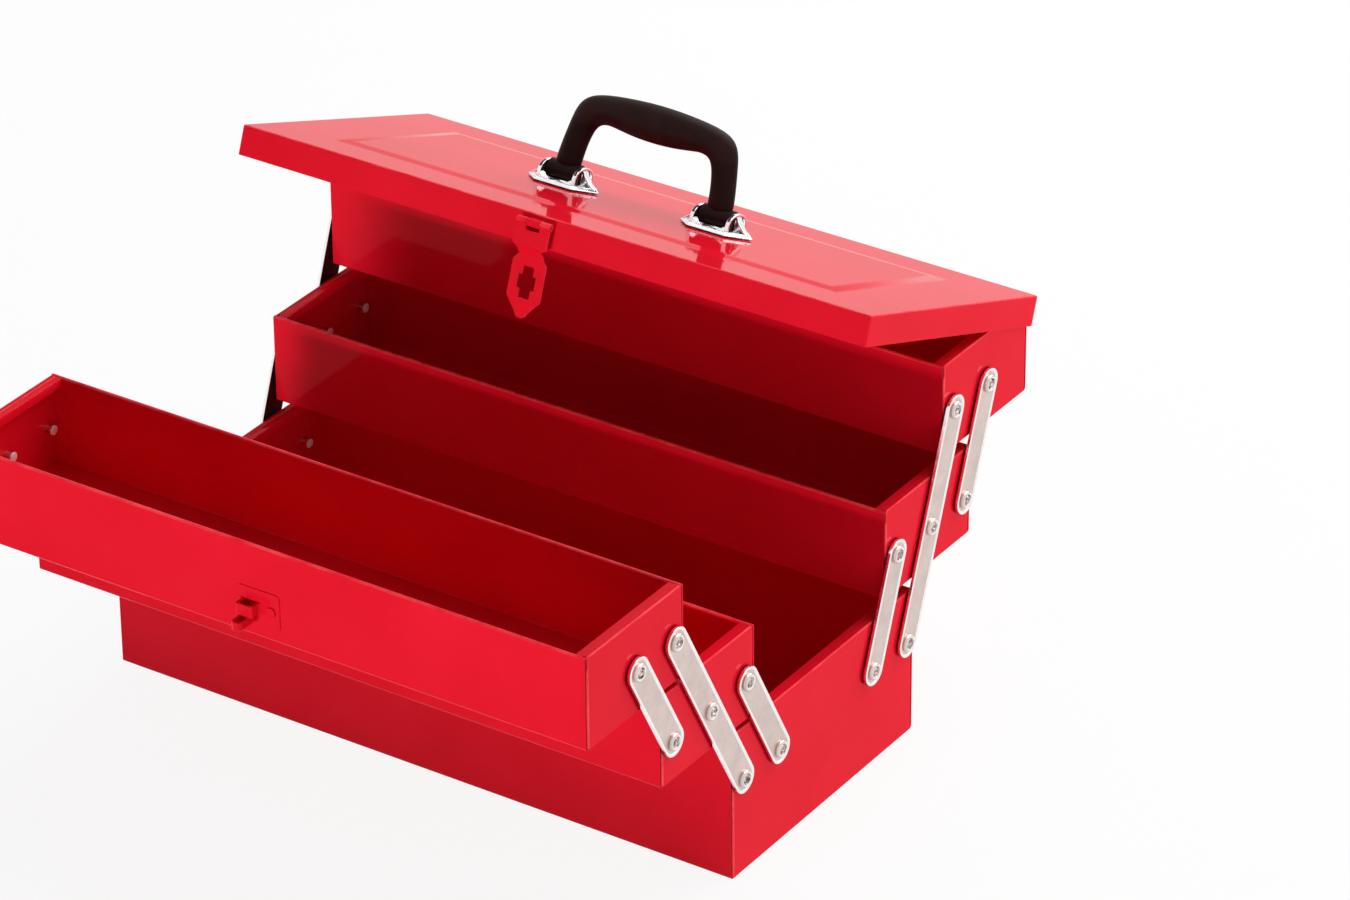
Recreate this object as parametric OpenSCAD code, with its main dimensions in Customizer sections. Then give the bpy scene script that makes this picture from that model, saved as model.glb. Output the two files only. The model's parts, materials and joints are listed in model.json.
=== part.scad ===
// Cantilever tool box with a deep base and four swing-out trays.
// The trays ride on flat steel links at both ends, a hinged lid closes the stack,
// and a black handle and a red hasp sit on the lid.
// X runs along the box, Y from front to rear, Z up.
// The origin is the middle of the underside of the base.

/* [Box] */
// Length of the base and of every tray
body_length = 450; // [380:5:520]
// Depth of the base, front to rear
body_depth = 200; // [196:2:230]
// Height of the base
base_height = 99; // [90:1:120]
// Height of each tray
tray_height = 60.5; // [58:0.5:63]
// Vertical gap between stacked trays when closed
tier_gap = 1.5; // [1:0.1:2.5]
// Gap between the front and rear trays when closed
middle_gap = 4; // [3:0.5:8]
// Thickness of the body sheet
sheet = 1; // [0.8:0.1:1.2]
// Outer radius of the folded bottom edges
fold_radius = 2; // [1.6:0.2:3]

/* [Rims] */
// Thickness of the turned-in hem on long walls
hem_width = 2.8; // [2.6:0.1:3.4]
// Depth of the turned-in hem
hem_drop = 8; // [6:0.5:10]
// Width of the turned-in rim on end walls
rim_width = 8; // [7:0.5:10]
// Depth of the lip at the inner side of that rim
rim_lip = 6; // [4:0.5:8]
// Width of the low ledge along the outer side of that rim
ledge_width = 2.8; // [2.4:0.1:3.4]
// Depth of the ledge below the top of the rim
ledge_drop = 1; // [0.6:0.1:1.2]
// Width of the weld flanges of the end walls
weld_flange = 8; // [6:0.5:12]
// Side of the open relief in each upper corner
corner_relief = 4; // [3:0.5:5]

/* [Links] */
// Height of the tray pivots above the tray underside
pivot_rise = 28; // [24:0.5:32]
// Distance of the outer base pivots from the base wall
base_pivot_inset = 10; // [10:0.5:14]
// Distance of the inner tray pivots from the wall at the middle of the box
inner_pivot_inset = 10.9; // [10:0.1:14]
// Width of the link strips
link_width = 19; // [17:0.5:20]
// Thickness of the link strips
link_thickness = 2; // [1.6:0.1:2.6]
// Width of the raised border of a link
link_border = 3; // [2:0.2:3]
// Depth of the link face inside its border
link_recess = 0.5; // [0.3:0.1:0.8]
// Thickness of the washer between link and wall
washer_thickness = 1.5; // [1:0.1:2]
// Outer diameter of the washers
washer_diameter = 14; // [12:0.5:16]
// Diameter of the rivet shanks
rivet_diameter = 5; // [4:0.1:6]
// Diameter of the rivet heads
rivet_head = 11.5; // [9:0.5:12]
// Height of the rivet heads
rivet_crown = 2.2; // [1.5:0.1:3]
// Length of rivet that stands inside a tray
rivet_tail = 6; // [3:0.5:8]
// Free play between a shank and its hole, on the radius
pivot_play = 0.08; // [0.04:0.01:0.1]

/* [Lid] */
// Height of the lid skirt, with the lid sheet
skirt_height = 19; // [17:0.5:21]
// Gap between the skirt and the trays at front and rear
skirt_gap = 1.5; // [1.2:0.1:2.5]
// Gap between the skirt and the tray ends
skirt_end_gap = 0.8; // [0.5:0.1:0.9]
// Length of the raised panel
panel_length = 355; // [300:5:370]
// Depth of the raised panel
panel_depth = 126; // [100:2:150]
// Rise of the panel above the lid
panel_rise = 1.8; // [1:0.1:3]
// Width of the sloped edge of the panel
panel_slope = 3; // [2:0.5:5]
// Clearance between the closed lid and the rims below it
lid_play = 0.3; // [0.2:0.1:0.6]

/* [Lid hinges] */
// Distance of each hinge from the middle of the lid
hinge_offset = 140; // [100:5:150]
// Length of each hinge
hinge_length = 50; // [45:5:60]
// Number of knuckles on a hinge
knuckle_count = 5; // [3:2:7]
// Thickness of the hinge leaves
leaf_thickness = 1; // [0.8:0.1:1.2]
// Width of a hinge leaf beyond the pin
leaf_reach = 15; // [13:0.5:15.5]
// Radius of the hinge knuckles
knuckle_radius = 2.3; // [2.2:0.1:2.6]
// Diameter of the hinge pins
hinge_pin = 2.4; // [2:0.1:2.6]
// Diameter of the small rivets
small_rivet = 3; // [2.5:0.1:3.5]
// Diameter of the heads of the small rivets
small_rivet_head = 5.6; // [5:0.1:6]

/* [Handle] */
// Distance between the two handle brackets
bracket_spacing = 112; // [104:1:130]
// Height of the handle pivot above the lid panel
pivot_height = 8; // [7.8:0.1:9]
// Radius of the barrel at the foot of each leg
barrel_radius = 6.2; // [5:0.1:6.2]
// Length of each barrel
barrel_length = 22.5; // [20:0.5:25]
// Width of the handle legs
leg_width = 16.5; // [14:0.5:18]
// Thickness of the handle legs
leg_thickness = 12; // [10:0.5:12]
// Inward lean of each leg at the grip
leg_taper = 4.2; // [0:0.2:6]
// Height of the top of the grip above the pivot
grip_reach = 55.5; // [52:0.5:60]
// Depth of the grip at its middle
grip_depth = 24.5; // [21:0.5:26]
// Depth of the grip at its ends
grip_end_depth = 19.5; // [17:0.5:20]
// Thickness of the grip at its middle
grip_thickness = 18; // [14:0.5:19]
// Length of the thickest stretch of the grip
grip_belly = 40; // [30:1:48]
// Run of the bend between a leg and the grip
grip_bend = 18; // [14:0.5:22]
// Diameter of the handle pins
handle_pin = 4; // [3:0.1:5]
// Thickness of the bracket metal
bracket_sheet = 1.2; // [1:0.1:1.4]
// Length of a bracket plate, tip to tip
bracket_length = 52; // [48:1:58]
// Width of a bracket plate
bracket_width = 26; // [22:1:30]

/* [Hasp] */
// Sideways place of the hasp and staple from the middle of the box
hasp_offset = -6.5; // [-20:0.5:20]
// Width of the hasp
hasp_width = 24; // [22:0.5:28]
// Thickness of the hasp
hasp_sheet = 1.5; // [1.2:0.1:1.8]
// Length of the hasp below its pin
hasp_length = 58.5; // [56:0.5:60]
// Distance of the hasp pin below the top of the lid
hasp_pin_drop = 5.4; // [5.2:0.1:6]
// Diameter of the hasp pin
hasp_pin = 2; // [1.6:0.1:2.4]
// Radius of the hasp knuckles
hasp_knuckle = 2.5; // [2.2:0.1:2.6]
// Length of the fixed middle knuckle
fixed_knuckle = 9; // [7:0.5:11]
// Height of the slanted step where the hasp drops back below the skirt
hasp_step = 5.5; // [4:0.5:7]
// Distance of the slot centre below the pin
slot_drop = 36.5; // [35.5:0.5:37.5]
// Height of the upright slot
slot_height = 19.5; // [18:0.5:21]
// Width of the upright slot
slot_width = 8; // [7:0.5:9]
// Height of the cross slot
notch_height = 8.4; // [8:0.2:9]
// Width of the cross slot
notch_width = 13; // [12.4:0.2:14]
// Play of the staple in the slots
slot_play = 0.6; // [0.4:0.1:0.8]
// Height of the staple plate
staple_height = 24; // [22:0.5:26]
// Reach of the staple plate to the left of the hasp middle
staple_left = 9; // [8:0.5:12]
// Reach of the staple plate to the right of the hasp middle
staple_right = 20.5; // [18:0.5:24]
// Reach of the staple loop from the tray
loop_reach = 8; // [7:0.5:10]
// Reach of the staple nose from the tray
nose_reach = 17; // [14:0.5:20]

/* [Pose] */
// Lean of the front links, outward from upright
front_link_angle = 28.5; // [0:0.5:30]
// Lean of the rear links, outward from upright
rear_link_angle = 20.5; // [0:0.5:30]
// Opening angle of the lid
lid_angle = 21; // [0:1:100]
// Backward lean of the handle from square to the lid
handle_angle = 5; // [-80:1:80]
// Outward swing of the hasp from the lid skirt
hasp_angle = 0; // [0:1:160]

/* [Hidden] */
$fn = 48;

// Which side of the box and which end a piece is on
FRONT = -1;
REAR = 1;
LEFT = -1;
RIGHT = 1;
// Which tier a tray is on
MIDDLE = 1;
TOP = 2;

painted = "#d9182b";
zinc = "#d6d2cc";
chrome = "#e4e6e8";
plastic = "#1d1a1a";

tray_depth = (body_depth - middle_gap) / 2;
tier_pitch = tray_height + tier_gap;
closed_step = (tray_depth - base_pivot_inset - inner_pivot_inset) / 2;
closed_lean = atan(closed_step / tier_pitch);
link_length = tier_pitch / cos(closed_lean);
closed_rim = base_height + 2 * tier_pitch;
base_pivot_height = base_height + tier_gap + pivot_rise - tier_pitch;
half_length = body_length / 2;
half_depth = body_depth / 2;
link_face = washer_thickness + link_thickness;
shank_hole = rivet_diameter / 2 + pivot_play;
relief_height = 1.25 * corner_relief;
fit = 0.02;

lid_length = body_length + 2 * (skirt_end_gap + sheet);
lid_depth = body_depth + 2 * (skirt_gap + sheet);
lid_top = closed_rim + lid_play + sheet;
skirt_bottom = lid_top - skirt_height;
knuckle_gap = 0.3;
hinge_y = half_depth + skirt_gap + sheet + leaf_thickness - 0.3;
hinge_z = skirt_bottom - knuckle_radius - knuckle_gap;

bracket_floor = lid_top + panel_rise;
handle_pivot_z = bracket_floor + pivot_height;
ear_gap = 0.3;
ear_inner = barrel_length / 2 + ear_gap;
ear_outer = ear_inner + bracket_sheet;

hasp_plate_sheet = 0.8;
skirt_face = -lid_depth / 2;
hasp_axis_y = skirt_face - hasp_plate_sheet - knuckle_gap - hasp_knuckle;
hasp_axis_z = lid_top - hasp_pin_drop;
staple_sheet = 1.2;
staple_z = hasp_axis_z - slot_drop;

// Distances of a tray's pivots from its outer wall
function pivot_column(tier) = base_pivot_inset + tier * closed_step;
function tray_pivots(tier) = tier == MIDDLE
    ? [for (k = [-1, 0, 1]) pivot_column(MIDDLE) + k * closed_step]
    : [for (k = [-1, 0]) pivot_column(TOP) + k * closed_step];
function tier_floor(tier) = base_height + tier_gap + (tier - 1) * tier_pitch;
function lean(side) = side == FRONT ? front_link_angle : rear_link_angle;

// ---- Places ----

// Carries what is drawn in the closed box to where its tray stands
module on_tray(side, tier) {
    swing = lean(side);
    translate([0,
               side * tier * link_length * (sin(swing) + sin(closed_lean)),
               tier * link_length * (cos(swing) - cos(closed_lean))])
        children();
}

module about_x(angle, y, z) {
    translate([0, y, z]) rotate([angle, 0, 0]) translate([0, -y, -z]) children();
}

module on_lid() {
    on_tray(REAR, TOP) about_x(-lid_angle, hinge_y, hinge_z) children();
}

module on_handle() {
    on_lid() about_x(-handle_angle, 0, handle_pivot_z) children();
}

module on_hasp() {
    on_lid() about_x(-hasp_angle, hasp_axis_y, hasp_axis_z) children();
}

module each_end() {
    children();
    mirror([1, 0, 0]) children();
}

// ---- Folded sheet ----

// Quarter bend between a wall at x = 0 and a floor at y = 0
module bend(radius) {
    intersection() {
        translate([radius, radius]) difference() {
            circle(r = radius);
            circle(r = radius - sheet);
        }
        square(radius);
    }
}

// Wall at x = 0 that ends in a hem turned inwards
module hemmed_wall(height) {
    bend_center = height - hem_width / 2;
    translate([0, fold_radius]) square([sheet, bend_center - fold_radius]);
    translate([hem_width / 2, bend_center]) intersection() {
        difference() {
            circle(d = hem_width);
            circle(d = hem_width - 2 * sheet);
        }
        translate([-hem_width / 2, 0]) square([hem_width, hem_width / 2]);
    }
    translate([hem_width - sheet, height - hem_drop]) square([sheet, hem_drop - hem_width / 2]);
}

module trough_profile(depth, height) {
    for (flip = [0, 1]) mirror([flip, 0]) translate([-depth / 2, 0]) {
        hemmed_wall(height);
        bend(fold_radius);
    }
    translate([-depth / 2 + fold_radius, 0]) square([depth - 2 * fold_radius, sheet]);
}

// Front wall, floor and rear wall folded from one sheet, centred on Y
module trough(depth, height) {
    relief_top = height - corner_relief;
    difference() {
        rotate([90, 0, 90]) linear_extrude(body_length, center = true)
            trough_profile(depth, height);
        each_end() translate([half_length - sheet - corner_relief,
                              -depth / 2 - sheet,
                              relief_top - relief_height])
            cube([corner_relief, depth + 2 * sheet, relief_height]);
    }
}

// Turned-in rim of an end wall, seen along the wall, outer face at x = 0
module end_rim_profile(height) {
    translate([-sheet, height - rim_lip]) square([sheet, rim_lip - ledge_drop - sheet]);
    translate([-ledge_width, height - ledge_drop - sheet]) square([ledge_width, sheet]);
    translate([-ledge_width, height - ledge_drop - sheet]) square([sheet, ledge_drop + sheet]);
    translate([-rim_width, height - sheet]) square([rim_width - ledge_width + sheet, sheet]);
    translate([-rim_width, height - rim_lip]) square([sheet, rim_lip]);
}

// Outline of an end wall, seen along X, its lower corners rounded to fit the bends
module end_outline(half, top) {
    corner = fold_radius - sheet + fit;
    translate([-half, sheet + corner]) square([2 * half, top - sheet - corner]);
    translate([-half + corner, sheet]) square([2 * (half - corner), corner]);
    for (flip = [-1, 1]) translate([flip * (half - corner), sheet + corner])
        circle(r = corner);
}

// Right-hand end wall of a tray or of the base, with a hole for each pivot
module end_wall(depth, height, pivots, pivot_z) {
    inner = depth / 2 - sheet;
    between_hems = depth / 2 - hem_width - fit;
    flange_top = height - 2.5 * corner_relief;
    difference() {
        union() {
            translate([half_length - sheet, 0, 0]) rotate([90, 0, 90]) linear_extrude(sheet)
                end_outline(inner, height - hem_drop - fit);
            translate([half_length - sheet, -between_hems, height - hem_drop - sheet])
                cube([sheet, 2 * between_hems, hem_drop - ledge_drop]);
            translate([half_length, between_hems, 0]) rotate([90, 0, 0])
                linear_extrude(2 * between_hems) end_rim_profile(height);
            translate([half_length - weld_flange, 0, 0]) rotate([90, 0, 90])
                linear_extrude(weld_flange) difference() {
                    end_outline(inner, flange_top);
                    translate([-inner + sheet, 2 * sheet])
                        square([2 * (inner - sheet), height]);
                }
        }
        for (y = pivots) translate([half_length - 2 * sheet, y, pivot_z])
            rotate([0, 90, 0]) cylinder(r = rivet_diameter / 2 + fit, h = 3 * sheet);
    }
}

// ---- Links and their rivets ----

module stadium(width, run, from = 0) {
    translate([0, from]) circle(d = width);
    translate([0, run]) circle(d = width);
    translate([-width / 2, from]) square([width, run - from]);
}

// Flat strip with a raised border, its lowest pivot at the origin, face towards +X
module link_strip(spans) {
    run = spans * link_length;
    rotate([90, 0, 90]) difference() {
        linear_extrude(link_thickness) stadium(link_width, run);
        translate([0, 0, link_thickness - link_recess]) linear_extrude(link_thickness)
            stadium(link_width - 2 * link_border, run);
        for (k = [0 : spans]) translate([0, k * link_length, -1])
            cylinder(r = shank_hole, h = link_thickness + 2);
    }
}

// Places a link on a pivot, leaning outwards with its side of the box
module place_link(side, end, column, pivot_z, spans) {
    mirror([end == LEFT ? 1 : 0, 0, 0])
        translate([half_length + washer_thickness, side * (half_depth - column), pivot_z])
            rotate([-side * lean(side), 0, 0]) link_strip(spans);
}

module long_link(side, end) {
    color(zinc) place_link(side, end, base_pivot_inset, base_pivot_height, 2);
}

module lower_link(side, end) {
    color(zinc)
        place_link(side, end, base_pivot_inset + closed_step, base_pivot_height, 1);
}

module upper_link(side, end) {
    color(zinc) on_tray(side, MIDDLE)
        place_link(side, end, tray_pivots(MIDDLE)[0], tier_floor(MIDDLE) + pivot_rise, 1);
}

module washer() {
    rotate([0, 90, 0]) difference() {
        cylinder(d = washer_diameter, h = washer_thickness);
        translate([0, 0, -1]) cylinder(r = rivet_diameter / 2 + fit, h = washer_thickness + 2);
    }
}

// Rivet along X with its head outside, wall face at x = 0
module pivot_rivet() {
    seat = link_face - link_recess + fit;
    dome = ((rivet_head / 2) ^ 2 + rivet_crown ^ 2) / (2 * rivet_crown);
    rotate([0, 90, 0]) {
        translate([0, 0, -sheet - rivet_tail])
            cylinder(d = rivet_diameter, h = seat + sheet + rivet_tail);
        translate([0, 0, -sheet - rivet_tail])
            cylinder(d = 1.28 * rivet_diameter, h = rivet_tail / 5);
        translate([0, 0, seat]) rotate_extrude() intersection() {
            translate([0, rivet_crown - dome]) circle(r = dome, $fn = 96);
            square([rivet_head / 2, rivet_crown]);
        }
    }
}

module at_pivots(side, columns, pivot_z) {
    each_end() for (column = columns)
        translate([half_length, side * (half_depth - column), pivot_z]) children();
}

base_columns = [base_pivot_inset, base_pivot_inset + closed_step];

// ---- Base ----

module base_shell() {
    color(painted) trough(body_depth, base_height);
}

module base_end(end) {
    pivots = [for (side = [FRONT, REAR]) for (c = base_columns) side * (half_depth - c)];
    color(painted) mirror([end == LEFT ? 1 : 0, 0, 0])
        end_wall(body_depth, base_height, pivots, base_pivot_height);
}

module base_pivot_washers() {
    color(zinc) for (side = [FRONT, REAR])
        at_pivots(side, base_columns, base_pivot_height) washer();
}

module base_pivot_rivets() {
    color(zinc) for (side = [FRONT, REAR])
        at_pivots(side, base_columns, base_pivot_height) pivot_rivet();
}

// ---- Trays ----

// Middle of a tray, front to rear, in the closed box
function tray_center(side) = side * (half_depth - tray_depth / 2);

module tray_shell(side, tier) {
    color(painted) on_tray(side, tier) translate([0, tray_center(side), tier_floor(tier)])
        trough(tray_depth, tray_height);
}

module tray_end(side, tier, end) {
    pivots = [for (c = tray_pivots(tier)) side * (tray_depth / 2 - c)];
    color(painted) on_tray(side, tier) translate([0, tray_center(side), tier_floor(tier)])
        mirror([end == LEFT ? 1 : 0, 0, 0])
            end_wall(tray_depth, tray_height, pivots, pivot_rise);
}

module tray_washers(side, tier) {
    color(zinc) on_tray(side, tier)
        at_pivots(side, tray_pivots(tier), tier_floor(tier) + pivot_rise) washer();
}

module tray_rivets(side, tier) {
    color(zinc) on_tray(side, tier)
        at_pivots(side, tray_pivots(tier), tier_floor(tier) + pivot_rise) pivot_rivet();
}

// The front top tray carries the staple, so its wall has the staple's rivet holes
module front_top_tray() {
    color(painted) difference() {
        tray_shell(FRONT, TOP);
        on_tray(FRONT, TOP) at_staple_rivets() cylinder(d = small_rivet + 2 * fit, h = 4 * sheet);
    }
}

// The rear top tray carries the lid hinges, so its wall has their rivet holes
module rear_top_tray() {
    color(painted) difference() {
        tray_shell(REAR, TOP);
        on_tray(REAR, TOP) at_leaf_rivets(-1) translate([0, 0, -2 * sheet])
            cylinder(d = small_rivet + 2 * fit, h = 3 * sheet);
    }
}

// ---- Lid ----

// Rounded-over block outline, open side at y = 0
module crowned(width, height, radius) {
    translate([-width / 2, 0]) square([width, height - radius]);
    translate([-width / 2 + radius, 0]) square([width - 2 * radius, height]);
    for (flip = [0, 1]) mirror([flip, 0])
        translate([width / 2 - radius, height - radius]) circle(r = radius);
}

module sloped(width, height) {
    polygon([[-width / 2, -1], [width / 2, -1], [width / 2, 0],
             [width / 2 - panel_slope, height], [-width / 2 + panel_slope, height],
             [-width / 2, 0]]);
}

// Solid form of the lid, drawn in from the outside by the given amount
module lid_form(inset) {
    length = lid_length - 2 * inset;
    depth = lid_depth - 2 * inset;
    height = skirt_height - inset;
    radius = 1.1 * fold_radius - inset;
    intersection() {
        rotate([90, 0, 90]) linear_extrude(length, center = true)
            crowned(depth, height, radius);
        rotate([90, 0, 0]) linear_extrude(depth, center = true)
            crowned(length, height, radius);
    }
    translate([0, 0, height]) intersection() {
        rotate([90, 0, 90]) linear_extrude(panel_length - 2 * inset, center = true)
            sloped(panel_depth - 2 * inset, panel_rise);
        rotate([90, 0, 0]) linear_extrude(panel_depth - 2 * inset, center = true)
            sloped(panel_length - 2 * inset, panel_rise);
    }
}

module lid_shell() {
    color(painted) on_lid() difference() {
        translate([0, 0, skirt_bottom]) difference() {
            lid_form(0);
            translate([0, 0, -fit]) lid_form(sheet);
        }
        at_leaf_rivets(1) translate([0, 0, -2 * sheet - leaf_thickness])
            cylinder(d = small_rivet + 2 * fit, h = 4 * sheet);
        at_bracket_rivets() translate([0, 0, -3 * sheet])
            cylinder(d = small_rivet + 2 * fit, h = 4 * sheet);
    }
}

// ---- Lid hinges ----

knuckle = hinge_length / knuckle_count;
leaf_hole_rise = (leaf_reach + knuckle_radius) / 2 + 0.8;

// Axes of the leaf rivets, pointing rearwards; up = 1 for the lid leaf, -1 for the tray leaf
module at_leaf_rivets(up) {
    face = up > 0 ? lid_depth / 2 : half_depth;
    for (flip = [-1, 1]) for (k = [-1, 0, 1])
        translate([flip * hinge_offset + k * hinge_length / 3, face + leaf_thickness,
                   hinge_z + up * leaf_hole_rise])
            rotate([-90, 0, 0]) children();
}

// One leaf of a hinge, its pin on the X axis, its inner face at y = wall
module leaf(up, wall, first) {
    from = knuckle_radius + knuckle_gap;
    difference() {
        union() {
            translate([-hinge_length / 2, wall, up > 0 ? from : -leaf_reach])
                cube([hinge_length, leaf_thickness, leaf_reach - from]);
            for (k = [first : 2 : knuckle_count - 1])
                translate([-hinge_length / 2 + k * knuckle + knuckle_gap / 2, 0, 0]) {
                    translate([0, wall, up > 0 ? 0 : -from])
                        cube([knuckle - knuckle_gap, leaf_thickness, from]);
                    rotate([0, 90, 0]) cylinder(r = knuckle_radius, h = knuckle - knuckle_gap);
                }
        }
        rotate([0, 90, 0])
            cylinder(r = hinge_pin / 2 + pivot_play, h = hinge_length + 2, center = true);
    }
}

module lid_hinge_leaves() {
    color(zinc) on_lid() difference() {
        for (flip = [-1, 1]) translate([flip * hinge_offset, hinge_y, hinge_z])
            leaf(1, lid_depth / 2 - hinge_y, 1);
        at_leaf_rivets(1) translate([0, 0, -2 * leaf_thickness])
            cylinder(d = small_rivet + 2 * fit, h = 4 * leaf_thickness);
    }
}

module tray_hinge_leaves() {
    color(zinc) on_tray(REAR, TOP) difference() {
        for (flip = [-1, 1]) translate([flip * hinge_offset, hinge_y, hinge_z])
            leaf(-1, half_depth - hinge_y, 0);
        at_leaf_rivets(-1) translate([0, 0, -2 * leaf_thickness])
            cylinder(d = small_rivet + 2 * fit, h = 4 * leaf_thickness);
    }
}

module lid_hinge_pins() {
    color(zinc) on_tray(REAR, TOP) for (flip = [-1, 1])
        translate([flip * hinge_offset, hinge_y, hinge_z]) rotate([0, 90, 0])
            cylinder(d = hinge_pin, h = hinge_length - knuckle_gap, center = true);
}

// Small rivet along Z, head upwards on z = 0, shank reaching down
module small_rivet_body(grip, tail) {
    rotate_extrude() {
        translate([0, -grip - tail]) square([small_rivet / 2, grip + tail]);
        intersection() {
            scale([1, 0.5]) circle(d = small_rivet_head);
            square(small_rivet_head);
        }
    }
}

module lid_leaf_rivets() {
    color(zinc) on_lid() at_leaf_rivets(1) small_rivet_body(leaf_thickness + sheet, 0);
}

module tray_leaf_rivets() {
    color(zinc) on_tray(REAR, TOP) at_leaf_rivets(-1)
        small_rivet_body(leaf_thickness + sheet, 1);
}

// ---- Handle ----

bracket_rivet_reach = bracket_length / 2 - 6.5;

module at_brackets() {
    for (flip = [-1, 1]) translate([flip * bracket_spacing / 2, 0, bracket_floor]) children();
}

module at_bracket_rivets() {
    at_brackets() for (flip = [-1, 1])
        translate([flip * bracket_rivet_reach, 0, bracket_sheet]) children();
}

// Pressed plate with pointed ends and two ears for the handle pin
module bracket_form() {
    half = bracket_length / 2;
    shoulder = ear_outer + 1;
    difference() {
        union() {
            linear_extrude(bracket_sheet)
                polygon([[-half, 0], [-shoulder, -bracket_width / 2],
                         [shoulder, -bracket_width / 2], [half, 0],
                         [shoulder, bracket_width / 2], [-shoulder, bracket_width / 2]]);
            for (flip = [0, 1]) mirror([flip, 0, 0]) {
                translate([ear_inner, 0, 0]) rotate([90, 0, 90])
                    linear_extrude(bracket_sheet) bracket_ear();
                translate([ear_outer - fit, 0, 0]) rotate([90, 0, 0])
                    linear_extrude(bracket_sheet, center = true) bracket_rib();
            }
        }
        translate([0, 0, pivot_height]) rotate([0, 90, 0])
            cylinder(r = handle_pin / 2 + fit, h = bracket_length, center = true);
        for (flip = [-1, 1]) translate([flip * bracket_rivet_reach, 0, -1])
            cylinder(d = small_rivet + 2 * fit, h = 4);
    }
}

// Ear outline, round over the pin and flared down to the plate
module bracket_ear() {
    crest = handle_pin / 2 + 3.2;
    translate([0, pivot_height]) circle(r = crest);
    polygon([[-bracket_width / 2 + 2, bracket_sheet / 2], [-crest, pivot_height],
             [crest, pivot_height], [bracket_width / 2 - 2, bracket_sheet / 2]]);
}

// Pressed rib that backs an ear, running down towards the tip of the plate
module bracket_rib() {
    run = bracket_length / 2 - ear_outer - 9;
    polygon([[0, bracket_sheet / 2], [run, bracket_sheet / 2], [run / 2, pivot_height * 0.3],
             [0, pivot_height * 0.6]]);
}

module handle_bracket(end) {
    color(chrome) on_lid()
        translate([end * bracket_spacing / 2, 0, bracket_floor]) bracket_form();
}

module bracket_rivets() {
    color(chrome) on_lid() at_bracket_rivets() small_rivet_body(bracket_sheet + sheet, 1);
}

module handle_pins() {
    head = 1.2;
    color(chrome) on_lid() at_brackets() translate([0, 0, pivot_height]) rotate([0, 90, 0]) {
        cylinder(d = handle_pin, h = 2 * ear_outer, center = true);
        for (flip = [0, 1]) mirror([0, 0, flip]) translate([0, 0, ear_outer])
            cylinder(d = handle_pin + 2, h = head);
    }
}

// Rounded slab that stands at a point of the handle, used as the end of a hull
module slab(x, z, width, thickness, height) {
    translate([x, 0, z]) scale([width / 2, thickness / 2, height / 2]) sphere(r = 1, $fn = 24);
}

// Grip and legs above the pivot line, the pivot line on the X axis
module handle_bow() {
    foot = bracket_spacing / 2;
    corner = foot - leg_taper;
    belly_z = grip_reach - grip_depth / 2;
    knee_z = belly_z - grip_end_depth * 0.65;
    for (flip = [0, 1]) mirror([flip, 0, 0]) {
        hull() {
            translate([foot - leg_width / 2, -leg_thickness / 2, -leg_thickness / 12])
                cube([leg_width, leg_thickness, leg_thickness / 4]);
            slab(corner, knee_z, leg_width, 1.08 * leg_thickness, leg_width);
        }
        hull() {
            slab(corner, knee_z, leg_width, 1.08 * leg_thickness, leg_width);
            slab(corner - grip_bend / 6, belly_z - grip_bend / 5,
                 1.06 * leg_width, 1.16 * leg_thickness, 0.9 * grip_end_depth);
            slab(corner - grip_bend, belly_z,
                 leg_width, 0.89 * grip_thickness, grip_end_depth);
        }
        hull() {
            slab(corner - grip_bend, belly_z,
                 leg_width, 0.89 * grip_thickness, grip_end_depth);
            slab(0, belly_z, grip_belly, grip_thickness, grip_depth);
        }
    }
}

module handle_grip() {
    color(plastic) on_handle() translate([0, 0, handle_pivot_z]) difference() {
        union() {
            handle_bow();
            for (flip = [-1, 1]) translate([flip * bracket_spacing / 2, 0, 0])
                rotate([0, 90, 0]) cylinder(r = barrel_radius, h = barrel_length, center = true);
        }
        for (flip = [-1, 1]) translate([flip * bracket_spacing / 2, 0, 0]) rotate([0, 90, 0])
            cylinder(r = handle_pin / 2 + pivot_play, h = barrel_length + 2, center = true);
    }
}

// ---- Hasp ----

module hasp_barrel(length) {
    rotate([0, 90, 0]) cylinder(r = hasp_knuckle, h = length, center = true);
}

// Plate on the lid skirt, its middle tongue curled round the pin
module hasp_hinge_plate() {
    back = skirt_face - hasp_axis_y;
    plate_top = hasp_pin_drop - fold_radius - 0.3;
    plate_drop = skirt_height - hasp_pin_drop - 2;
    color(painted) on_lid() translate([hasp_offset, hasp_axis_y, hasp_axis_z]) difference() {
        union() {
            translate([-hasp_width / 2 + 1, back - hasp_plate_sheet, -plate_drop])
                cube([hasp_width - 2, hasp_plate_sheet, plate_drop + plate_top]);
            hasp_barrel(fixed_knuckle);
            translate([-fixed_knuckle / 2, 0, hasp_knuckle - hasp_plate_sheet])
                cube([fixed_knuckle, back, hasp_plate_sheet]);
        }
        rotate([0, 90, 0])
            cylinder(d = hasp_pin + 2 * fit, h = hasp_width + 2, center = true);
    }
}

module hasp_hinge_pin() {
    color(zinc) on_lid() translate([hasp_offset, hasp_axis_y, hasp_axis_z]) rotate([0, 90, 0])
        cylinder(d = hasp_pin, h = hasp_width, center = true);
}

step_top = skirt_height - hasp_pin_drop + hasp_sheet / 3;
step_bottom = step_top + hasp_step;

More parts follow.
